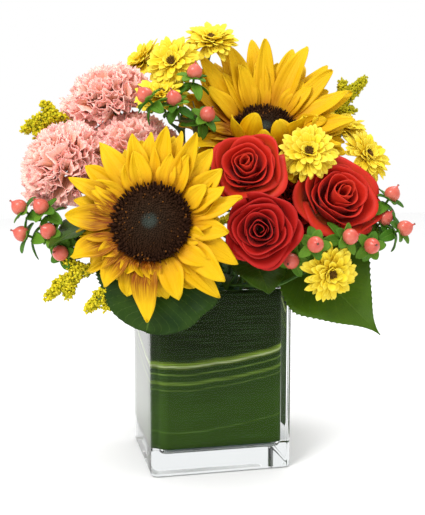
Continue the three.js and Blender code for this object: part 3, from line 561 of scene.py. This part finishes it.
def back_petals():
    """Petals of the back sunflower: the upper ones stand tall, the lower ones open forward."""
    petals = []
    for i in range(BACK_PETALS):
        side = 1 if i % 2 else -1
        angle = 360 * i / BACK_PETALS + 3 * side
        up = sin(radians(angle))
        petals.append((angle, 74 + 10 * up + 2 * (i % 3), 28 + 8 * up + 4 * side, -9, 0.95))
    return petals


def sunflower_petals(petals, disc, curled, blunt, pose, seed):
    """The drawn petals, one behind each, short ones against the disc and the curled ones."""
    piece, draw = Piece(), draws(seed)
    root = disc - 1

    def add(angle, reach, width, lift, curl, z, tint, blunt):
        surface = strap(
            angle, root, reach - root, SUNFLOWER["petal_width"] * width * draw(0.9, 1.05), lift,
            curl, z=z, cup=draw(0.08, 0.26), neck=0.45, tip=2.4, blunt=blunt,
            twist=draw(-34, 34), wave=draw(1, 3), ribs=0.6, phase=draw(), bow=draw(-5, 5),
        )
        sheet(piece, surface, 22, 10, SUNFLOWER["petal_thickness"], pose, tint)

    following = petals[1:] + petals[:1]
    for (angle, reach, lift, curl, width), (ahead, its_reach, its_lift, _, _) in zip(petals, following):
        gap, short = (ahead - angle) % 360, min(reach, its_reach)
        smear = 0.5 if SMEARED[0] < angle % 360 < SMEARED[1] else 0.0
        add(angle, reach, width, lift, curl, PETAL_Z, draw(0, 0.5) + smear, blunt)
        add(
            angle + gap * draw(0.7, 1.3) / 2, short * draw(0.83, 0.97), width,
            min(lift, its_lift) - draw(3, 11), curl, BEHIND_Z, draw(0, 0.5) + smear, blunt,
        )
        if draw() < 0.5:
            add(
                angle + gap * draw(0.1, 0.9), short * draw(0.7, 0.84), 0.8,
                max(lift, its_lift) + draw(4, 12), curl - 14, BEFORE_Z, draw(0, 0.5) + smear, blunt,
            )
    for angle, length, lift, curl in curled:
        add(angle, root + length, 1.15, lift, curl, BEFORE_Z, draw(0, 0.4), 0.55)
    return piece


FLORET_PROFILE = ((0.8, 0), (1, 0.5), (0.75, 0.85), (0.15, 1))  # shares of its width and height


def sunflower_disc(radius, pose, seed):
    """A dome covered with florets in crossing spirals, tallest in a ragged fringe round its edge."""
    piece, draw = Piece(), draws(seed)
    count, outline = SUNFLOWER["florets"], circle(5)

    def height(share):
        return SUNFLOWER["dome"] * (1 - 0.7 * share**2.5) - 2.2 * exp(-((share / 0.33) ** 2)) - 1.2

    profile = [(0.9, 0.1), (0.98, 1.6)] + [(s, height(s)) for s in np.linspace(0.01, 0.97, 24)[::-1]]
    lathe(piece, [(radius * s, z) for s, z in profile], 48, pose, 0.0, [s for s, _ in profile])
    for i in range(count):
        share = sqrt((i + 0.5) / count)
        angle = i * GOLDEN + draw(-0.05, 0.05)
        fringe = share > 0.8
        tall = draw(2.4, 5.8) if fringe else 0.8 + 2.4 * share * draw(0.3, 1.5)
        thick = radius / sqrt(count) * (0.95 if share < 0.4 else 0.78) * draw(0.8, 1.15)
        lean = 0.15 + (draw(0.3, 1.3) if fringe else 0.5 * share**2)
        out = outward(angle)
        base = pose(out * radius * share * 0.985 + UP * (height(share) - 0.4))
        rings = np.array([outline * thick * w + UP * tall * h for w, h in FLORET_PROFILE])
        uvs = np.array([[[share, h]] * len(outline) for _, h in FLORET_PROFILE])
        upper_left = share > 0.4 and cos(angle - 2.3) > 0.2  # where ripe specks show
        tint = draw() if upper_left or fringe else draw(0, 0.9)
        loft(piece, rings, Pose(base, pose.axes @ axes_along(unit(out * lean + UP))), tint, uvs)
    return piece


def sunflower_bracts(disc, pose, seed):
    """Pointed bracts in two rows behind the petals."""
    piece, draw = Piece(), draws(seed)
    for i in range(SUNFLOWER["bracts"]):
        length = draw(20, 27)
        surface = strap(
            360 * i / SUNFLOWER["bracts"] + draw(-4, 4), disc * 0.5, length, draw(8, 11),
            draw(-16, -6) - 5 * (i % 2), draw(-30, -8), z=-3.4 - 1.2 * (i % 2),
            neck=0.8, tip=1.7, blunt=1, wave=1, phase=draw(),
        )
        sheet(piece, surface, 8, 4, 0.7, pose, draw())
    return piece


ROSE = {"radius": 28.5, "height": 33, "petals": 19, "thickness": 0.5}


def rose_petals(pose, seed):
    """Petals in a spiral from a tight bud to open outer ones that roll back at their rims."""
    piece, draw = Piece(), draws(seed)
    count = ROSE["petals"]
    for i in range(count):
        t = (i + 0.5) / count
        rim = ROSE["radius"] * (0.09 + 0.86 * t**1.1) * draw(0.94, 1.06)
        top = ROSE["height"] * (1.0 - 0.36 * t**1.6) * draw(0.93, 1.05)
        root, foot = 1.5 + 3.5 * t, ROSE["height"] * (0.32 * (1 - t) ** 1.5) + 0.5
        wide = radians(108 - 42 * t**0.8) * draw(0.9, 1.1)
        start = i * GOLDEN + draw(-0.25, 0.25)
        roll = 9.5 * max(0.0, t - 0.22) ** 0.8 * draw(0.5, 1.35)
        phase, ripple = draw(0, TAU), 0.3 + 2.2 * t
        peak = draw(0.6, 1.8) * (0.4 + t)
        spiral = 0.10 if t < 0.45 else 0.04

        def surface(u, v):
            bowl = np.sin(pi / 2 * u**0.8)
            rise = 1 - np.cos(pi / 2 * np.minimum(1, u * 1.02))
            fold = np.clip((u - 0.66) / 0.34, 0, 1) ** 1.8
            shoulder = np.abs(v) ** 2.4
            r = root + (rim - root) * bowl * (1 + spiral * v)
            r += roll * fold * (1 - 0.35 * shoulder) + ripple * u**3 * np.sin(1.7 * pi * v + phase)
            z = foot + (top - foot) * rise * (1 - 0.24 * shoulder * u)
            z += peak * np.exp(-((v / 0.2) ** 2)) * u**6 - roll * 0.62 * fold * (1 + 0.3 * shoulder)
            spread = 0.35 + 0.65 * np.sin(pi / 2 * np.minimum(1, u / 0.7))
            a = start + v * wide * spread
            return np.stack([r * np.cos(a), r * np.sin(a), z], -1)

        sheet(piece, surface, 16, 18, ROSE["thickness"], pose, t)
    return piece


def sepals(piece, count, length, width, lift, curl, pose, seed, z, root, blunt):
    draw = draws(seed)
    for i in range(count):
        surface = strap(
            360 * i / count + draw(-8, 8), root, length * draw(0.85, 1.1), width,
            lift + draw(-8, 8), curl * draw(0.6, 1.3), z=z, neck=0.6, tip=2.6 - blunt,
            blunt=blunt, twist=draw(-25, 25),
        )
        sheet(piece, surface, 8, 6, 0.6, pose, draw())


CARNATION = {"radius": 35.5, "height": 31, "petals": 56, "thickness": 0.3}


def carnation_petals(pose, seed):
    """Broad fans with toothed, ruffled edges, packed from upright inner ones to flat outer ones."""
    piece, random = Piece(), np.random.default_rng(seed)
    draw = random.uniform
    count = CARNATION["petals"]
    for i in range(count):
        t = (i + 0.5) / count
        phi = i * GOLDEN + draw(-0.2, 0.2)
        e = radians(86 - 84 * t**0.72 + draw(-9, 9))
        full = CARNATION["height"] * 0.98 * (1 - t) + CARNATION["radius"] * t
        length = full * draw(0.88, 1.04)
        out = outward(phi) * cos(e) + UP * sin(e)
        side = outward(phi + pi / 2)
        normal = np.cross(out, side)
        base = UP * CARNATION["height"] * 0.05 + 1.5 * (1 - t) * normal
        half = radians(draw(34, 48))
        tall, waves = draw(2.0, 4.2), draw(0.9, 1.7)
        phase, bend = draw(0, TAU), draw(-5, 5)
        teeth, shift = random.integers(13, 19), draw()

        def surface(u, v):
            tooth = np.abs(((v * teeth / 2 + shift) % 1) - 0.5) * 2
            s = length * (0.16 + 0.84 * u) * (1 + (0.085 * tooth - 0.04 - 0.05 * v * v) * u**5)
            a = v * half * (0.3 + 0.7 * u)
            ruffle = tall * np.sin(TAU * waves * v + phase)
            ruffle += 0.45 * tall * np.sin(TAU * 2.6 * waves * v + 2 * phase) * u**2
            n = ruffle * u**2 - bend * u * u
            along, across = (s * np.cos(a))[..., None] * out, (s * np.sin(a))[..., None] * side
            return base + along + across + n[..., None] * normal

        sheet(piece, surface, 8, 38, CARNATION["thickness"], pose, draw())
    return piece


POM = {"radius": 23.8, "root": 2.0, "thickness": 0.35, "eye": 4.2, "eye_florets": 46}
# Whorls of petals from the outside in: [count, reach, lift, z].
POM_LAYERS = (
    (20, 1, 2, 1), (19, 0.97, 11, 1.6), (17, 0.86, 22, 2.2), (13, 0.66, 37, 3), (9, 0.44, 56, 3.8),
)


def pom_petals(pose, seed):
    """Spoon petals with round tips, in loose overlapping whorls round a small eye."""
    piece, draw = Piece(), draws(seed)
    root = POM["root"]
    for layer, (count, reach, lift, z) in enumerate(POM_LAYERS):
        for i in range(count):
            surface = strap(
                360 * (i + 0.5 * (layer % 2)) / count + draw(-7, 7), root,
                POM["radius"] * reach * draw(0.86, 1.04) - root, draw(5.2, 6.6),
                lift + draw(-8, 8), draw(-26, 8), z=z, neck=0.42, tip=9.0, blunt=0.5,
                cup=draw(0.1, 0.32), twist=draw(-24, 24), wave=0.5, phase=draw(), bow=draw(-2.5, 2.5),
            )
            sheet(piece, surface, 10, 6, POM["thickness"], pose, draw())
    return piece


def pom_eye(pose, seed):
    piece, draw = Piece(), draws(seed)
    for i in range(POM["eye_florets"]):
        share = sqrt((i + 0.5) / POM["eye_florets"])
        out = outward(i * GOLDEN)
        base = pose(out * POM["eye"] * share + UP * (6.4 - 1.2 * share))
        axes = pose.axes @ axes_along(unit(out * 0.3 * share + UP))
        tall = draw(1.4, 2.6)
        profile = [(0.35, -2), (0.6, 0.5 * tall), (0.5, 0.9 * tall), (0.1, tall)]
        lathe(piece, profile, 5, Pose(base, axes), draw())
    return piece


LEAFLET = {
    "lowest": 150, "highest": 240, "step": 11, "turn": 137.5, "below_head": 16, "length": (26, 40),
}


def leafy_stem(name, seed):
    """The stem of a bloom, with pointed leaves round it above the rim."""
    draw = draws(seed)
    stalk = fine_copy(f"{name}_stalk", stem_green, "stem", f"{name}_stem")
    points = np.array([v.co for v in stalk.data.vertices]) / MM
    foliage = Piece()
    turn = draw(0, 360)
    head = node_points(f"{name}_petals")[:, 2].min() - LEAFLET["below_head"]
    lowest = LEAFLET["lowest"] + draw(0, 6)
    for z in np.arange(lowest, min(LEAFLET["highest"], head), LEAFLET["step"]):
        near = points[np.abs(points[:, 2] - z) < 3]
        if not len(near):
            continue
        length = draw(*LEAFLET["length"])
        surface = strap(
            turn, 0.5, length, length * draw(0.42, 0.56), draw(10, 50), draw(-80, -30), neck=0.1, tip=2,
            blunt=0.85, cup=0.15, twist=draw(-30, 30), wave=1.2, phase=draw(), bow=draw(-4, 4),
        )
        sheet(foliage, surface, 16, 8, 0.5, Pose(near.mean(0), TO_ROW), draw(0.1, 0.7))
        turn += LEAFLET["turn"]
    if foliage.count:
        foliage.build(f"{name}_foliage", leaf_green, "leaf")


# ---- blooms
# Each kind of bloom, and the leaves on its stems, draw from seeds of their own.
stem_green = stem_material("stem", (0.014, 0.055, 0.006), (0.075, 0.16, 0.025))
leaf_green = leaf_material("leaf", (0.007, 0.026, 0.002), (0.062, 0.13, 0.006), (0.1, 0.18, 0.02))
petal_yellow = sunflower_petal_material()
disc_brown = sunflower_disc_material()
# Colours of each rose: the petal base with painted shade, the body, the rim with a painted highlight,
# the heart, and the painted highlight on the outer petals.
rose_deep = rose_petal_material(
    "rose_petal_deep", (0.3, 0.004, 0.003), (0.4, 0.007, 0.005), (0.42, 0.011, 0.008),
    (0.36, 0.008, 0.005), (0.4, 0.016, 0.01),
)
rose_warm = rose_petal_material(
    "rose_petal_warm", (0.38, 0.007, 0.003), (0.49, 0.012, 0.005), (0.53, 0.02, 0.009),
    (0.62, 0.04, 0.014), (0.72, 0.19, 0.025),
)
carnation_pink = carnation_petal_material()
pom_yellow = pom_petal_material()
eye_brown = grainy_material("chrysanthemum_eye", (0.045, 0.016, 0.004), (0.26, 0.13, 0.015), 0.7)

# Name, facing, radius of the disc, petals, curled petals and how blunt the petals are.
SUNFLOWERS = (
    ("sunflower_front", (-8, 20), 29.5, FRONT_PETALS, (), 0.82),
    ("sunflower_back", (4, 42), 25.0, back_petals(), CURLED_PETALS, 0.62),
)
for seed, (name, facing, disc, petals, curled, blunt) in enumerate(SUNFLOWERS):
    pose = head_pose(f"{name}_disc", facing)
    head = sunflower_petals(petals, disc, curled, blunt, pose, seed)
    head.build(f"{name}_head", petal_yellow, "sunflower_petal", f"{name}_petals")
    florets = sunflower_disc(disc, pose, seed)
    florets.build(f"{name}_florets", disc_brown, "sunflower_disc", f"{name}_disc")
    sunflower_bracts(disc, pose, seed).build(f"{name}_bracts", stem_green, "stem")
    leafy_stem(name, 200 + seed)

ROSES = (
    ("rose_upper", (-8, 22), 0.94, rose_warm), ("rose_lower", (-6, 6), 0.94, rose_deep),
    ("rose_right", (14, 26), 1.15, rose_warm), ("rose_inner", (0, 30), 1, rose_deep),
    ("rose_back", (155, 30), 1, rose_deep),
)
for seed, (name, facing, scale, material) in enumerate(ROSES):
    pose = head_pose(f"{name}_petals", facing, scale)
    rose_petals(pose, 40 + seed).build(f"{name}_head", material, "rose_petal", f"{name}_petals")
    green = Piece()
    sepals(green, 5, 24, 6.5, -25, -35, pose, 50 + seed, z=-1, root=3, blunt=1)
    green.build(f"{name}_sepals", stem_green, "stem")
    leafy_stem(name, 210 + seed)

CARNATIONS = (
    ("carnation_top", (-34, 58), 1.2), ("carnation_left", (-44, 26), 1.18),
    ("carnation_middle", (-14, 36), 1.22), ("carnation_back", (-150, 35), 1),
)
for seed, (name, facing, scale) in enumerate(CARNATIONS):
    head = carnation_petals(head_pose(f"{name}_petals", facing, scale), 60 + seed)
    head.build(f"{name}_head", carnation_pink, "carnation_petal", f"{name}_petals")
    leafy_stem(name, 220 + seed)

POMS = (
    ("pom_top", (8, 52)), ("pom_upper_left", (-10, 20)), ("pom_far_left", (-62, 42)),
    ("pom_low_left", (-8, 55)), ("pom_centre", (0, 22)), ("pom_right", (38, 28)),
    ("pom_right_behind", (20, 60)), ("pom_low_right", (22, -8)), ("pom_back", (178, 25)),
)
for seed, (name, facing) in enumerate(POMS):
    pose = head_pose(name, facing)
    pom_petals(pose, 80 + seed).build(f"{name}_head", pom_yellow, "chrysanthemum_petal", name)
    pom_eye(pose, 90 + seed).build(f"{name}_eye", eye_brown, "chrysanthemum_petal")
for name in ("top", "right", "low", "back"):
    fine_copy(f"chrysanthemum_stalks_{name}", stem_green, "stem", f"pom_spray_{name}")

# ---- berries
BERRY = {"radius": 6.3, "length": 14.5, "body": 0.9, "cad_tip": 7}
# Each spray: the place of its fork and those of its berries.
BERRY_SPRAYS = (
    (
        "berries_left", (-98, -36, 184),
        ((-148, -45, 212), (-130, -50, 213), (-147, -45, 191), (-124, -55, 194), (-114, -60, 177)),
    ),
    ("berries_top", (-18, -12, 272), ((-11, -20, 318), (-28, -25, 297), (0, -30, 284), (-52, -15, 300))),
    (
        "berries_right", (118, -26, 188),
        ((146, -30, 222), (140, -35, 203), (155, -40, 195), (126, -55, 182)),
    ),
    ("berries_front", (76, -36, 190), ((80, -75, 185), (109, -62, 190), (62, -66, 171))),
    ("berries_back", (-28, 66, 190), ((-40, 92, 200), (-22, 96, 206))),
)
BERRY_PROFILE = (
    (0.2, 0), (0.55, 0.04), (0.85, 0.16), (1, 0.36), (0.97, 0.52), (0.82, 0.68), (0.55, 0.82),
    (0.28, 0.9), (0.13, 0.95), (0.09, 1.02), (0.16, 1.08), (0.05, 1.12),
)
BERRY_STALK = ((1, 0), (1, 10))
BERRY_STEPS = np.arange(-60, 60.5, 0.5)  # how much further off than drawn a CAD fruit may stand
FRUIT = {"below": -8.5, "above": 16, "aside": 11}  # what the twigs leave out round a berry's centre


def berry_centre(points, berry, axis):
    """The middle of the CAD fruit, which stands somewhere along the viewer's line of sight."""
    centres = row(berry) + row(unit(np.subtract(berry, EYE))) * BERRY_STEPS[:, None]
    tips = centres + axis * BERRY["cad_tip"]
    return centres[np.linalg.norm(points[None] - tips[:, None], axis=2).min(1).argmin()]


fruit_red = berry_material()
sepal_green = leaf_material(
    "berry_sepal", (0.035, 0.13, 0.008), (0.12, 0.26, 0.02), (0.24, 0.38, 0.06), 7.0, 0.45
)
twig_brown = stem_material("berry_twig", (0.06, 0.07, 0.012), (0.2, 0.15, 0.045))
for seed, (name, fork, berries) in enumerate(BERRY_SPRAYS):
    points = node_points(name)
    fruit, green, spots = Piece(), Piece(), []
    for i, berry in enumerate(berries, 10 * seed):
        axis = row(unit(np.subtract(berry, fork) + np.array([0, -6, 12])))
        centre = berry_centre(points, berry, axis)
        spots.append((centre, axis))
        foot = centre - axis * BERRY["length"] / 2
        pose = Pose(foot, axes_along(axis))
        profile = [(BERRY["radius"] * r, BERRY["length"] * BERRY["body"] * z) for r, z in BERRY_PROFILE]
        lathe(fruit, profile, 18, pose)
        sepals(green, 5, 13.0, 9.6, 14, -22, pose, i, z=0.2, root=0.8, blunt=0.5)
        sepals(green, 4, 16.0, 10.5, -20, -30, pose, i + 5, z=-3.5, root=0.8, blunt=0.55)
        lathe(green, BERRY_STALK, 8, Pose(foot - axis * 9, pose.axes))
    fruit.build(f"{name}_fruit", fruit_red, "berry", name)
    green.build(f"{name}_sepals", sepal_green, "leaf")

    def off_fruit(vertices):
        kept = np.ones(len(vertices), bool)
        for centre, axis in spots:
            along = (vertices - centre) @ axis
            aside = np.linalg.norm(vertices - centre - np.outer(along, axis), axis=1)
            kept &= (along < FRUIT["below"]) | (along > FRUIT["above"]) | (aside > FRUIT["aside"])
        return kept

    fine_copy(f"{name}_twigs", twig_brown, "stem", name, off_fruit, levels=1)

# ---- goldenrod
# Each plume: its root, its tip, and how far its florets have opened from green to yellow.
GOLDENRODS = (
    ("goldenrod_upper_left", (-119, 0, 282), (-152, 0, 271), 0.7),
    ("goldenrod_upper_right", (103, 30, 286), (133, 36, 316), 0.35),
    ("goldenrod_lower_left", (-90, -55, 165), (-125, -55, 141), 1),
    ("goldenrod_rim_left", (-60, -68, 158), (-92, -68, 134), 1),
    ("goldenrod_rim_middle", (-32, -62, 154), (-8, -68, 136), 1),
    ("goldenrod_back", (20, 84, 196), (44, 100, 180), 0.8),
)
FLORETS = 1500
PLUME_RADIUS = 15  # florets further than this from the plume's line are left out


def distance_to_plume(points, root, tip):
    """How far each point lies from the plume's line as the viewer sees it."""
    root, tip = row(root), row(tip)
    sight = unit((root + tip) / 2 - row(EYE))
    flat = [p - np.outer(p @ sight, sight) for p in (points, root[None], tip[None])]
    aside, along = flat[0] - flat[1], flat[2] - flat[1]
    share = np.clip(aside @ along[0] / (along[0] @ along[0]), 0, 1)
    return np.linalg.norm(aside - share[:, None] * along, axis=1)


def triangles(node):
    """The corners of a CAD node's triangles, (triangles, 3, 3)."""
    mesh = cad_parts[node].data
    mesh.calc_loop_triangles()
    ids = np.empty(len(mesh.loop_triangles) * 3, int)
    mesh.loop_triangles.foreach_get("vertices", ids)
    return node_points(node)[ids.reshape(-1, 3)]


def goldenrod_florets(node, root, tip, ripe, seed):
    """Tiny florets all over the plume's branches."""
    piece, random = Piece(), np.random.default_rng(seed)
    corners = triangles(node)
    corners = corners[distance_to_plume(corners.mean(1), root, tip) < PLUME_RADIUS]
    normal = np.cross(corners[:, 1] - corners[:, 0], corners[:, 2] - corners[:, 0])
    area = np.linalg.norm(normal, axis=1)
    normal /= area[:, None] + 1e-9
    chosen = random.choice(len(corners), FLORETS, p=area / area.sum())
    octahedron = np.concatenate([circle(4), [UP * 1.5, -UP]])
    sides = [(i, (i + 1) % 4) for i in range(4)]
    faces = [[a, b, 4] for a, b in sides] + [[b, a, 5] for a, b in sides]
    for face in chosen:
        a, b = random.uniform(size=2)
        if a + b > 1:
            a, b = 1 - a, 1 - b
        p, q, r = corners[face]
        place = p + a * (q - p) + b * (r - p) + normal[face] * random.uniform(0.1, 2.4)
        axis = unit(normal[face] + random.normal(size=3) * 0.6)
        pose = Pose(place, axes_along(axis), random.uniform(0.7, 1.5))
        piece.add(pose(octahedron), faces, np.full((6, 2), 0.5), ripe * random.uniform())
    return piece


gold = goldenrod_material()
plume_green = stem_material("goldenrod_twig", (0.1, 0.16, 0.015), (0.3, 0.33, 0.04))
for seed, (name, root, tip, ripe) in enumerate(GOLDENRODS):
    florets = goldenrod_florets(name, root, tip, ripe, 100 + seed)
    florets.build(f"{name}_florets", gold, "goldenrod", name)
    fine_copy(f"{name}_twig", plume_green, "goldenrod", name, levels=1)

# ---- broad leaves
# Each leaf: the facing of its midrib, its roll, its tint and [length, width, arch, fold, point]. Roll
# and arch are in degrees.
LEAVES = (
    ("leaf_front_left", (-14, -56), -18, 0.05, (62, 94, 53, 0.1, 0.46)),
    ("leaf_front_right", (52, -43), 51, 0.85, (89, 77, 5, 0.31, 1.6)),
    ("leaf_left", (-60, -6), 0, 0.4, (56, 44, 40, 0.2, 0.8)),
    ("leaf_rim_left", (-100, -8), 0, 0.4, (40, 38, 40, 0.2, 0.8)),
    ("leaf_rim_front", (10, -14), 0, 0.4, (46, 48, 40, 0.2, 0.8)),
    ("leaf_back_left", (-140, -20), 0, 0.4, (74, 60, 40, 0.2, 0.8)),
    ("leaf_back_right", (140, -18), 0, 0.4, (78, 60, 40, 0.2, 0.8)),
    ("leaf_back", (180, -30), 0, 0.4, (66, 60, 40, 0.2, 0.8)),
)
CAD_TEETH = 7
# The CAD leaf may have been bent or turned out of its drawn place by some of these degrees.
LEAF_BENDS = (0, 6, -6, 12, -12, 18, -18)
LEAF_TURNS = (0, 8, -8, 16)
FIT_STEPS = 25
PETIOLE = {"clear_of_blade": 2.2, "reach": 8}


def leaf_surface(length, width, arch, fold, point, fine, phase=0.0):
    """A broad leaf along X, folded along its midrib and arched. The CAD leaf has a few coarse teeth."""
    k = radians(-arch)

    def surface(u, v):
        outline = np.maximum(0, np.sin(pi * (0.1 + 0.9 * u) ** 0.72)) ** point
        if fine:
            saw = 2 * np.abs((u * 26 + 0.35 * v * v) % 1 - 0.5) - 0.5
            tooth = 1 + 0.055 * saw + 0.03 * np.sin(17 * u + phase)
        else:
            tooth = np.where(np.round(u * CAD_TEETH) % 2 == 1, 1.05, 0.95)
        half = width / 2 * outline * tooth
        side = np.abs(v)
        lift = fold * side * half + 1.5 * np.sin(7 * u) * side
        if fine:
            lift += 0.9 * np.sin(19 * u + phase + 2 * np.sign(v)) * side**2
            lift -= 0.8 * np.sin(pi * 13 * (u - 0.28 * side)) ** 8 * side * (1 - side)
        lobe = 0.22 * width * side**1.5 * np.maximum(0, 0.35 - u)
        x = length * np.sin(k * u) / k - lift * np.sin(k * u) - lobe
        z = length * (1 - np.cos(k * u)) / k + lift * np.cos(k * u)
        return np.stack([x, v * half, z], -1)

    return surface


def leaf_axes(turn, tilt, roll):
    x = facing_axis(turn, tilt)
    side, a = unit(np.cross(UP, x)), radians(roll)
    side = side * cos(a) + np.cross(x, side) * sin(a)
    return np.column_stack([x, side, np.cross(x, side)])


def leaf_pose(points, shape, towards, roll):
    """Finds the pose of the CAD leaf, by laying its coarse outline on the node's points."""
    u, v = grid(np.arange(CAD_TEETH) / CAD_TEETH, [-1.0, 0.0, 1.0])
    coarse = leaf_surface(*shape, fine=False)(u, v).reshape(-1, 3)
    best, least = None, np.inf
    for bend in LEAF_BENDS:
        for turn in LEAF_TURNS:
            axes = leaf_axes(towards[0] + turn, towards[1] + bend, roll)
            laid = coarse @ axes.T
            shift = points[np.argmax(points @ axes[:, 0])] - laid[-3:].mean(0)
            for _ in range(FIT_STEPS):
                gaps = points[None] - (laid + shift)[:, None]
                nearest = np.linalg.norm(gaps, axis=2).argmin(1)
                step = gaps[np.arange(len(laid)), nearest]
                shift = shift + np.median(step, axis=0)
            error = np.median(np.linalg.norm(step, axis=1))
            if error < least:
                best, least = Pose(shift, axes), error
    return best


for seed, (name, towards, roll, tint, shape) in enumerate(LEAVES):
    pose = leaf_pose(node_points(name), shape, towards, roll)
    blade = Piece()
    sheet(blade, leaf_surface(*shape, fine=True, phase=seed), 78, 16, 0.7, pose, tint)
    blade.build(f"{name}_blade", leaf_green, "leaf", name)
    u, v = grid(np.linspace(0, 1, 29), np.linspace(-1, 1, 9))
    cover = pose(leaf_surface(*shape, fine=False)(u, v).reshape(-1, 3))

    def off_blade(vertices):
        gap = np.linalg.norm(vertices[:, None] - cover[None], axis=2).min(1)
        along = (vertices - pose.origin) @ pose.axes[:, 0]
        return (gap > PETIOLE["clear_of_blade"]) & (along < PETIOLE["reach"])

    fine_copy(f"{name}_petiole", stem_green, "stem", name, off_blade)


# ---- vase, liner and foam
UNMOVED = Pose((0, 0, 0), np.eye(3))
ARC_STEPS, SIDE_STEPS = 10, 6
SEAM = 0.993  # the last point lies just short of the first, so that the UV jumps in a narrow strip


def rounded(width, depth, corner, inset):
    """Points round a rounded rectangle, from the middle of its back."""
    radius = max(corner - inset, 0.4)
    x, y = width / 2 - inset - radius, depth / 2 - inset - radius
    points = [np.array([0, y + radius])]
    for cx, cy, start in ((-x, y, 90), (-x, -y, 180), (x, -y, 270), (x, y, 0)):
        turn = np.radians(start + 90 * np.arange(ARC_STEPS + 1) / ARC_STEPS)
        curve = np.column_stack([cx + radius * np.cos(turn), cy + radius * np.sin(turn)])
        share = (np.arange(1, SIDE_STEPS) / SIDE_STEPS)[:, None]
        points.extend(points[-1] + share * (curve[0] - points[-1]))
        points.extend(curve)
    share = np.append(share, [[SEAM]], axis=0)
    points.extend(points[-1] + share * (points[0] - points[-1]))
    return np.array(points)


def ring_at(outline, z):
    return np.column_stack([outline, np.full(len(outline), z)])


def vase_body():
    """The glass, from its underside out, up, over the rim and down to the inner floor."""
    size = (VASE["width"], VASE["depth"])
    top, wall, floor = VASE["height"], VASE["wall"], VASE["floor"]
    outer = [(8, 0), (3.2, 0), (2.6, 0), (1.5, 0.15), (0.7, 0.6), (0.2, 1.3), (0, 2.4), (0, 2.8)]
    outer += [(0, z) for z in np.linspace(6, top - 6, 12)]
    outer += [(0, top - 2.2), (0.3, top - 1.0), (1.0, top - 0.3), (2.0, top)]
    within = [(wall - 2.0, top), (wall - 1.0, top - 0.3), (wall - 0.3, top - 1.0), (wall, top - 2.2)]
    within += [(wall, z) for z in np.linspace(top - 6, floor + 5, 12)]
    within += [(wall + 0.4, floor + 2.6), (wall + 1.6, floor + 0.9)]
    within += [(wall + reach, floor) for reach in (4, 5, 12)]
    rings = [ring_at(rounded(*size, VASE["corner"], inset), z) for inset, z in outer]
    corner = VASE["inner_corner"] + VASE["wall"]
    rings += [ring_at(rounded(*size, max(corner, inset), inset), z) for inset, z in within]
    return loft(Piece(), np.array(rings), UNMOVED)


def liner_body():
    size, t = (LINER["width"], LINER["depth"]), LINER["thickness"]
    outline, inside = rounded(*size, LINER["corner"], 0), rounded(*size, LINER["corner"], t)
    way = np.cumsum(np.linalg.norm(np.diff(outline, axis=0, prepend=outline[:1]), axis=1))
    round_way = (way - way[-1] / 2) / 100
    heights = np.linspace(LINER["foot"], LINER["top"], 26)
    levels = [(outline, z) for z in heights] + [(inside, z) for z in heights[::-1]]
    rings = np.array([ring_at(points, z) for points, z in levels])
    uvs = np.array([np.column_stack([round_way, np.full(len(way), z / 100)]) for _, z in levels])
    return loft(Piece(), rings, UNMOVED, uvs=uvs, ends=False)


vase_body().build("vase_glass", glass_material(), "glass", "vase")
liner_body().build("liner_wrap", liner_material(), "liner_leaf", "liner_leaf")
foam_green = grainy_material("floral_foam", (0.015, 0.06, 0.025), (0.05, 0.15, 0.07), 0.9)
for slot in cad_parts["foam_block"].material_slots:
    slot.material = foam_green


# ---- studio, in metres
FLOOR_REACH, FLOOR_Z = 3, -0.0004  # just clear of the glass
AIM = (0, 0, 0.18)  # where both lamps point
LAMPS = {"key": ((-0.6, -0.9, 1.3), 15), "top": ((0.3, 0.2, 1.5), 7)}  # place and watts
LAMP_SIZE = 0.6


def point_at(thing, place, aim):
    """Stands a lamp or camera at a place, looking along -Z to its aim."""
    matrix = np.eye(4)
    matrix[:3, :3], matrix[:3, 3] = axes_along(-unit(np.subtract(aim, place))), place
    thing.matrix_world = Matrix(matrix.tolist())


mesh = bpy.data.meshes.new("floor")
corners = [(x * FLOOR_REACH, y * FLOOR_REACH, FLOOR_Z) for x, y in ((-1, -1), (1, -1), (1, 1), (-1, 1))]
mesh.from_pydata(corners, [], [(0, 1, 2, 3)])
pale = Shader("floor", 0.9)
tone = pale.ramp(pale.grain(3), (0, 0.93, 0.93, 0.93), (1, 0.95, 0.95, 0.95))
mesh.materials.append(pale.finish(tone))
floor = link("floor", mesh)
world = bpy.data.worlds.new("studio")
world.use_nodes = True
world.node_tree.nodes["Background"].inputs["Color"].default_value = (1, 1, 1, 1)
bpy.context.scene.world = world
for name, (place, watts) in LAMPS.items():
    light = bpy.data.lights.new(name, "AREA")
    light.shape, light.size, light.energy = "DISK", LAMP_SIZE, watts
    point_at(link(name, light), row(place), AIM)
camera = bpy.data.cameras.new("camera")
camera.lens, camera.sensor_width = LENS, SENSOR
view = link("camera", camera)
eye, pitch = row(EYE) * MM, radians(EYE_PITCH)
point_at(view, eye, eye + row((0, cos(pitch), -sin(pitch))))
bpy.context.scene.camera = view
bpy.context.scene.view_settings.view_transform = "Standard"
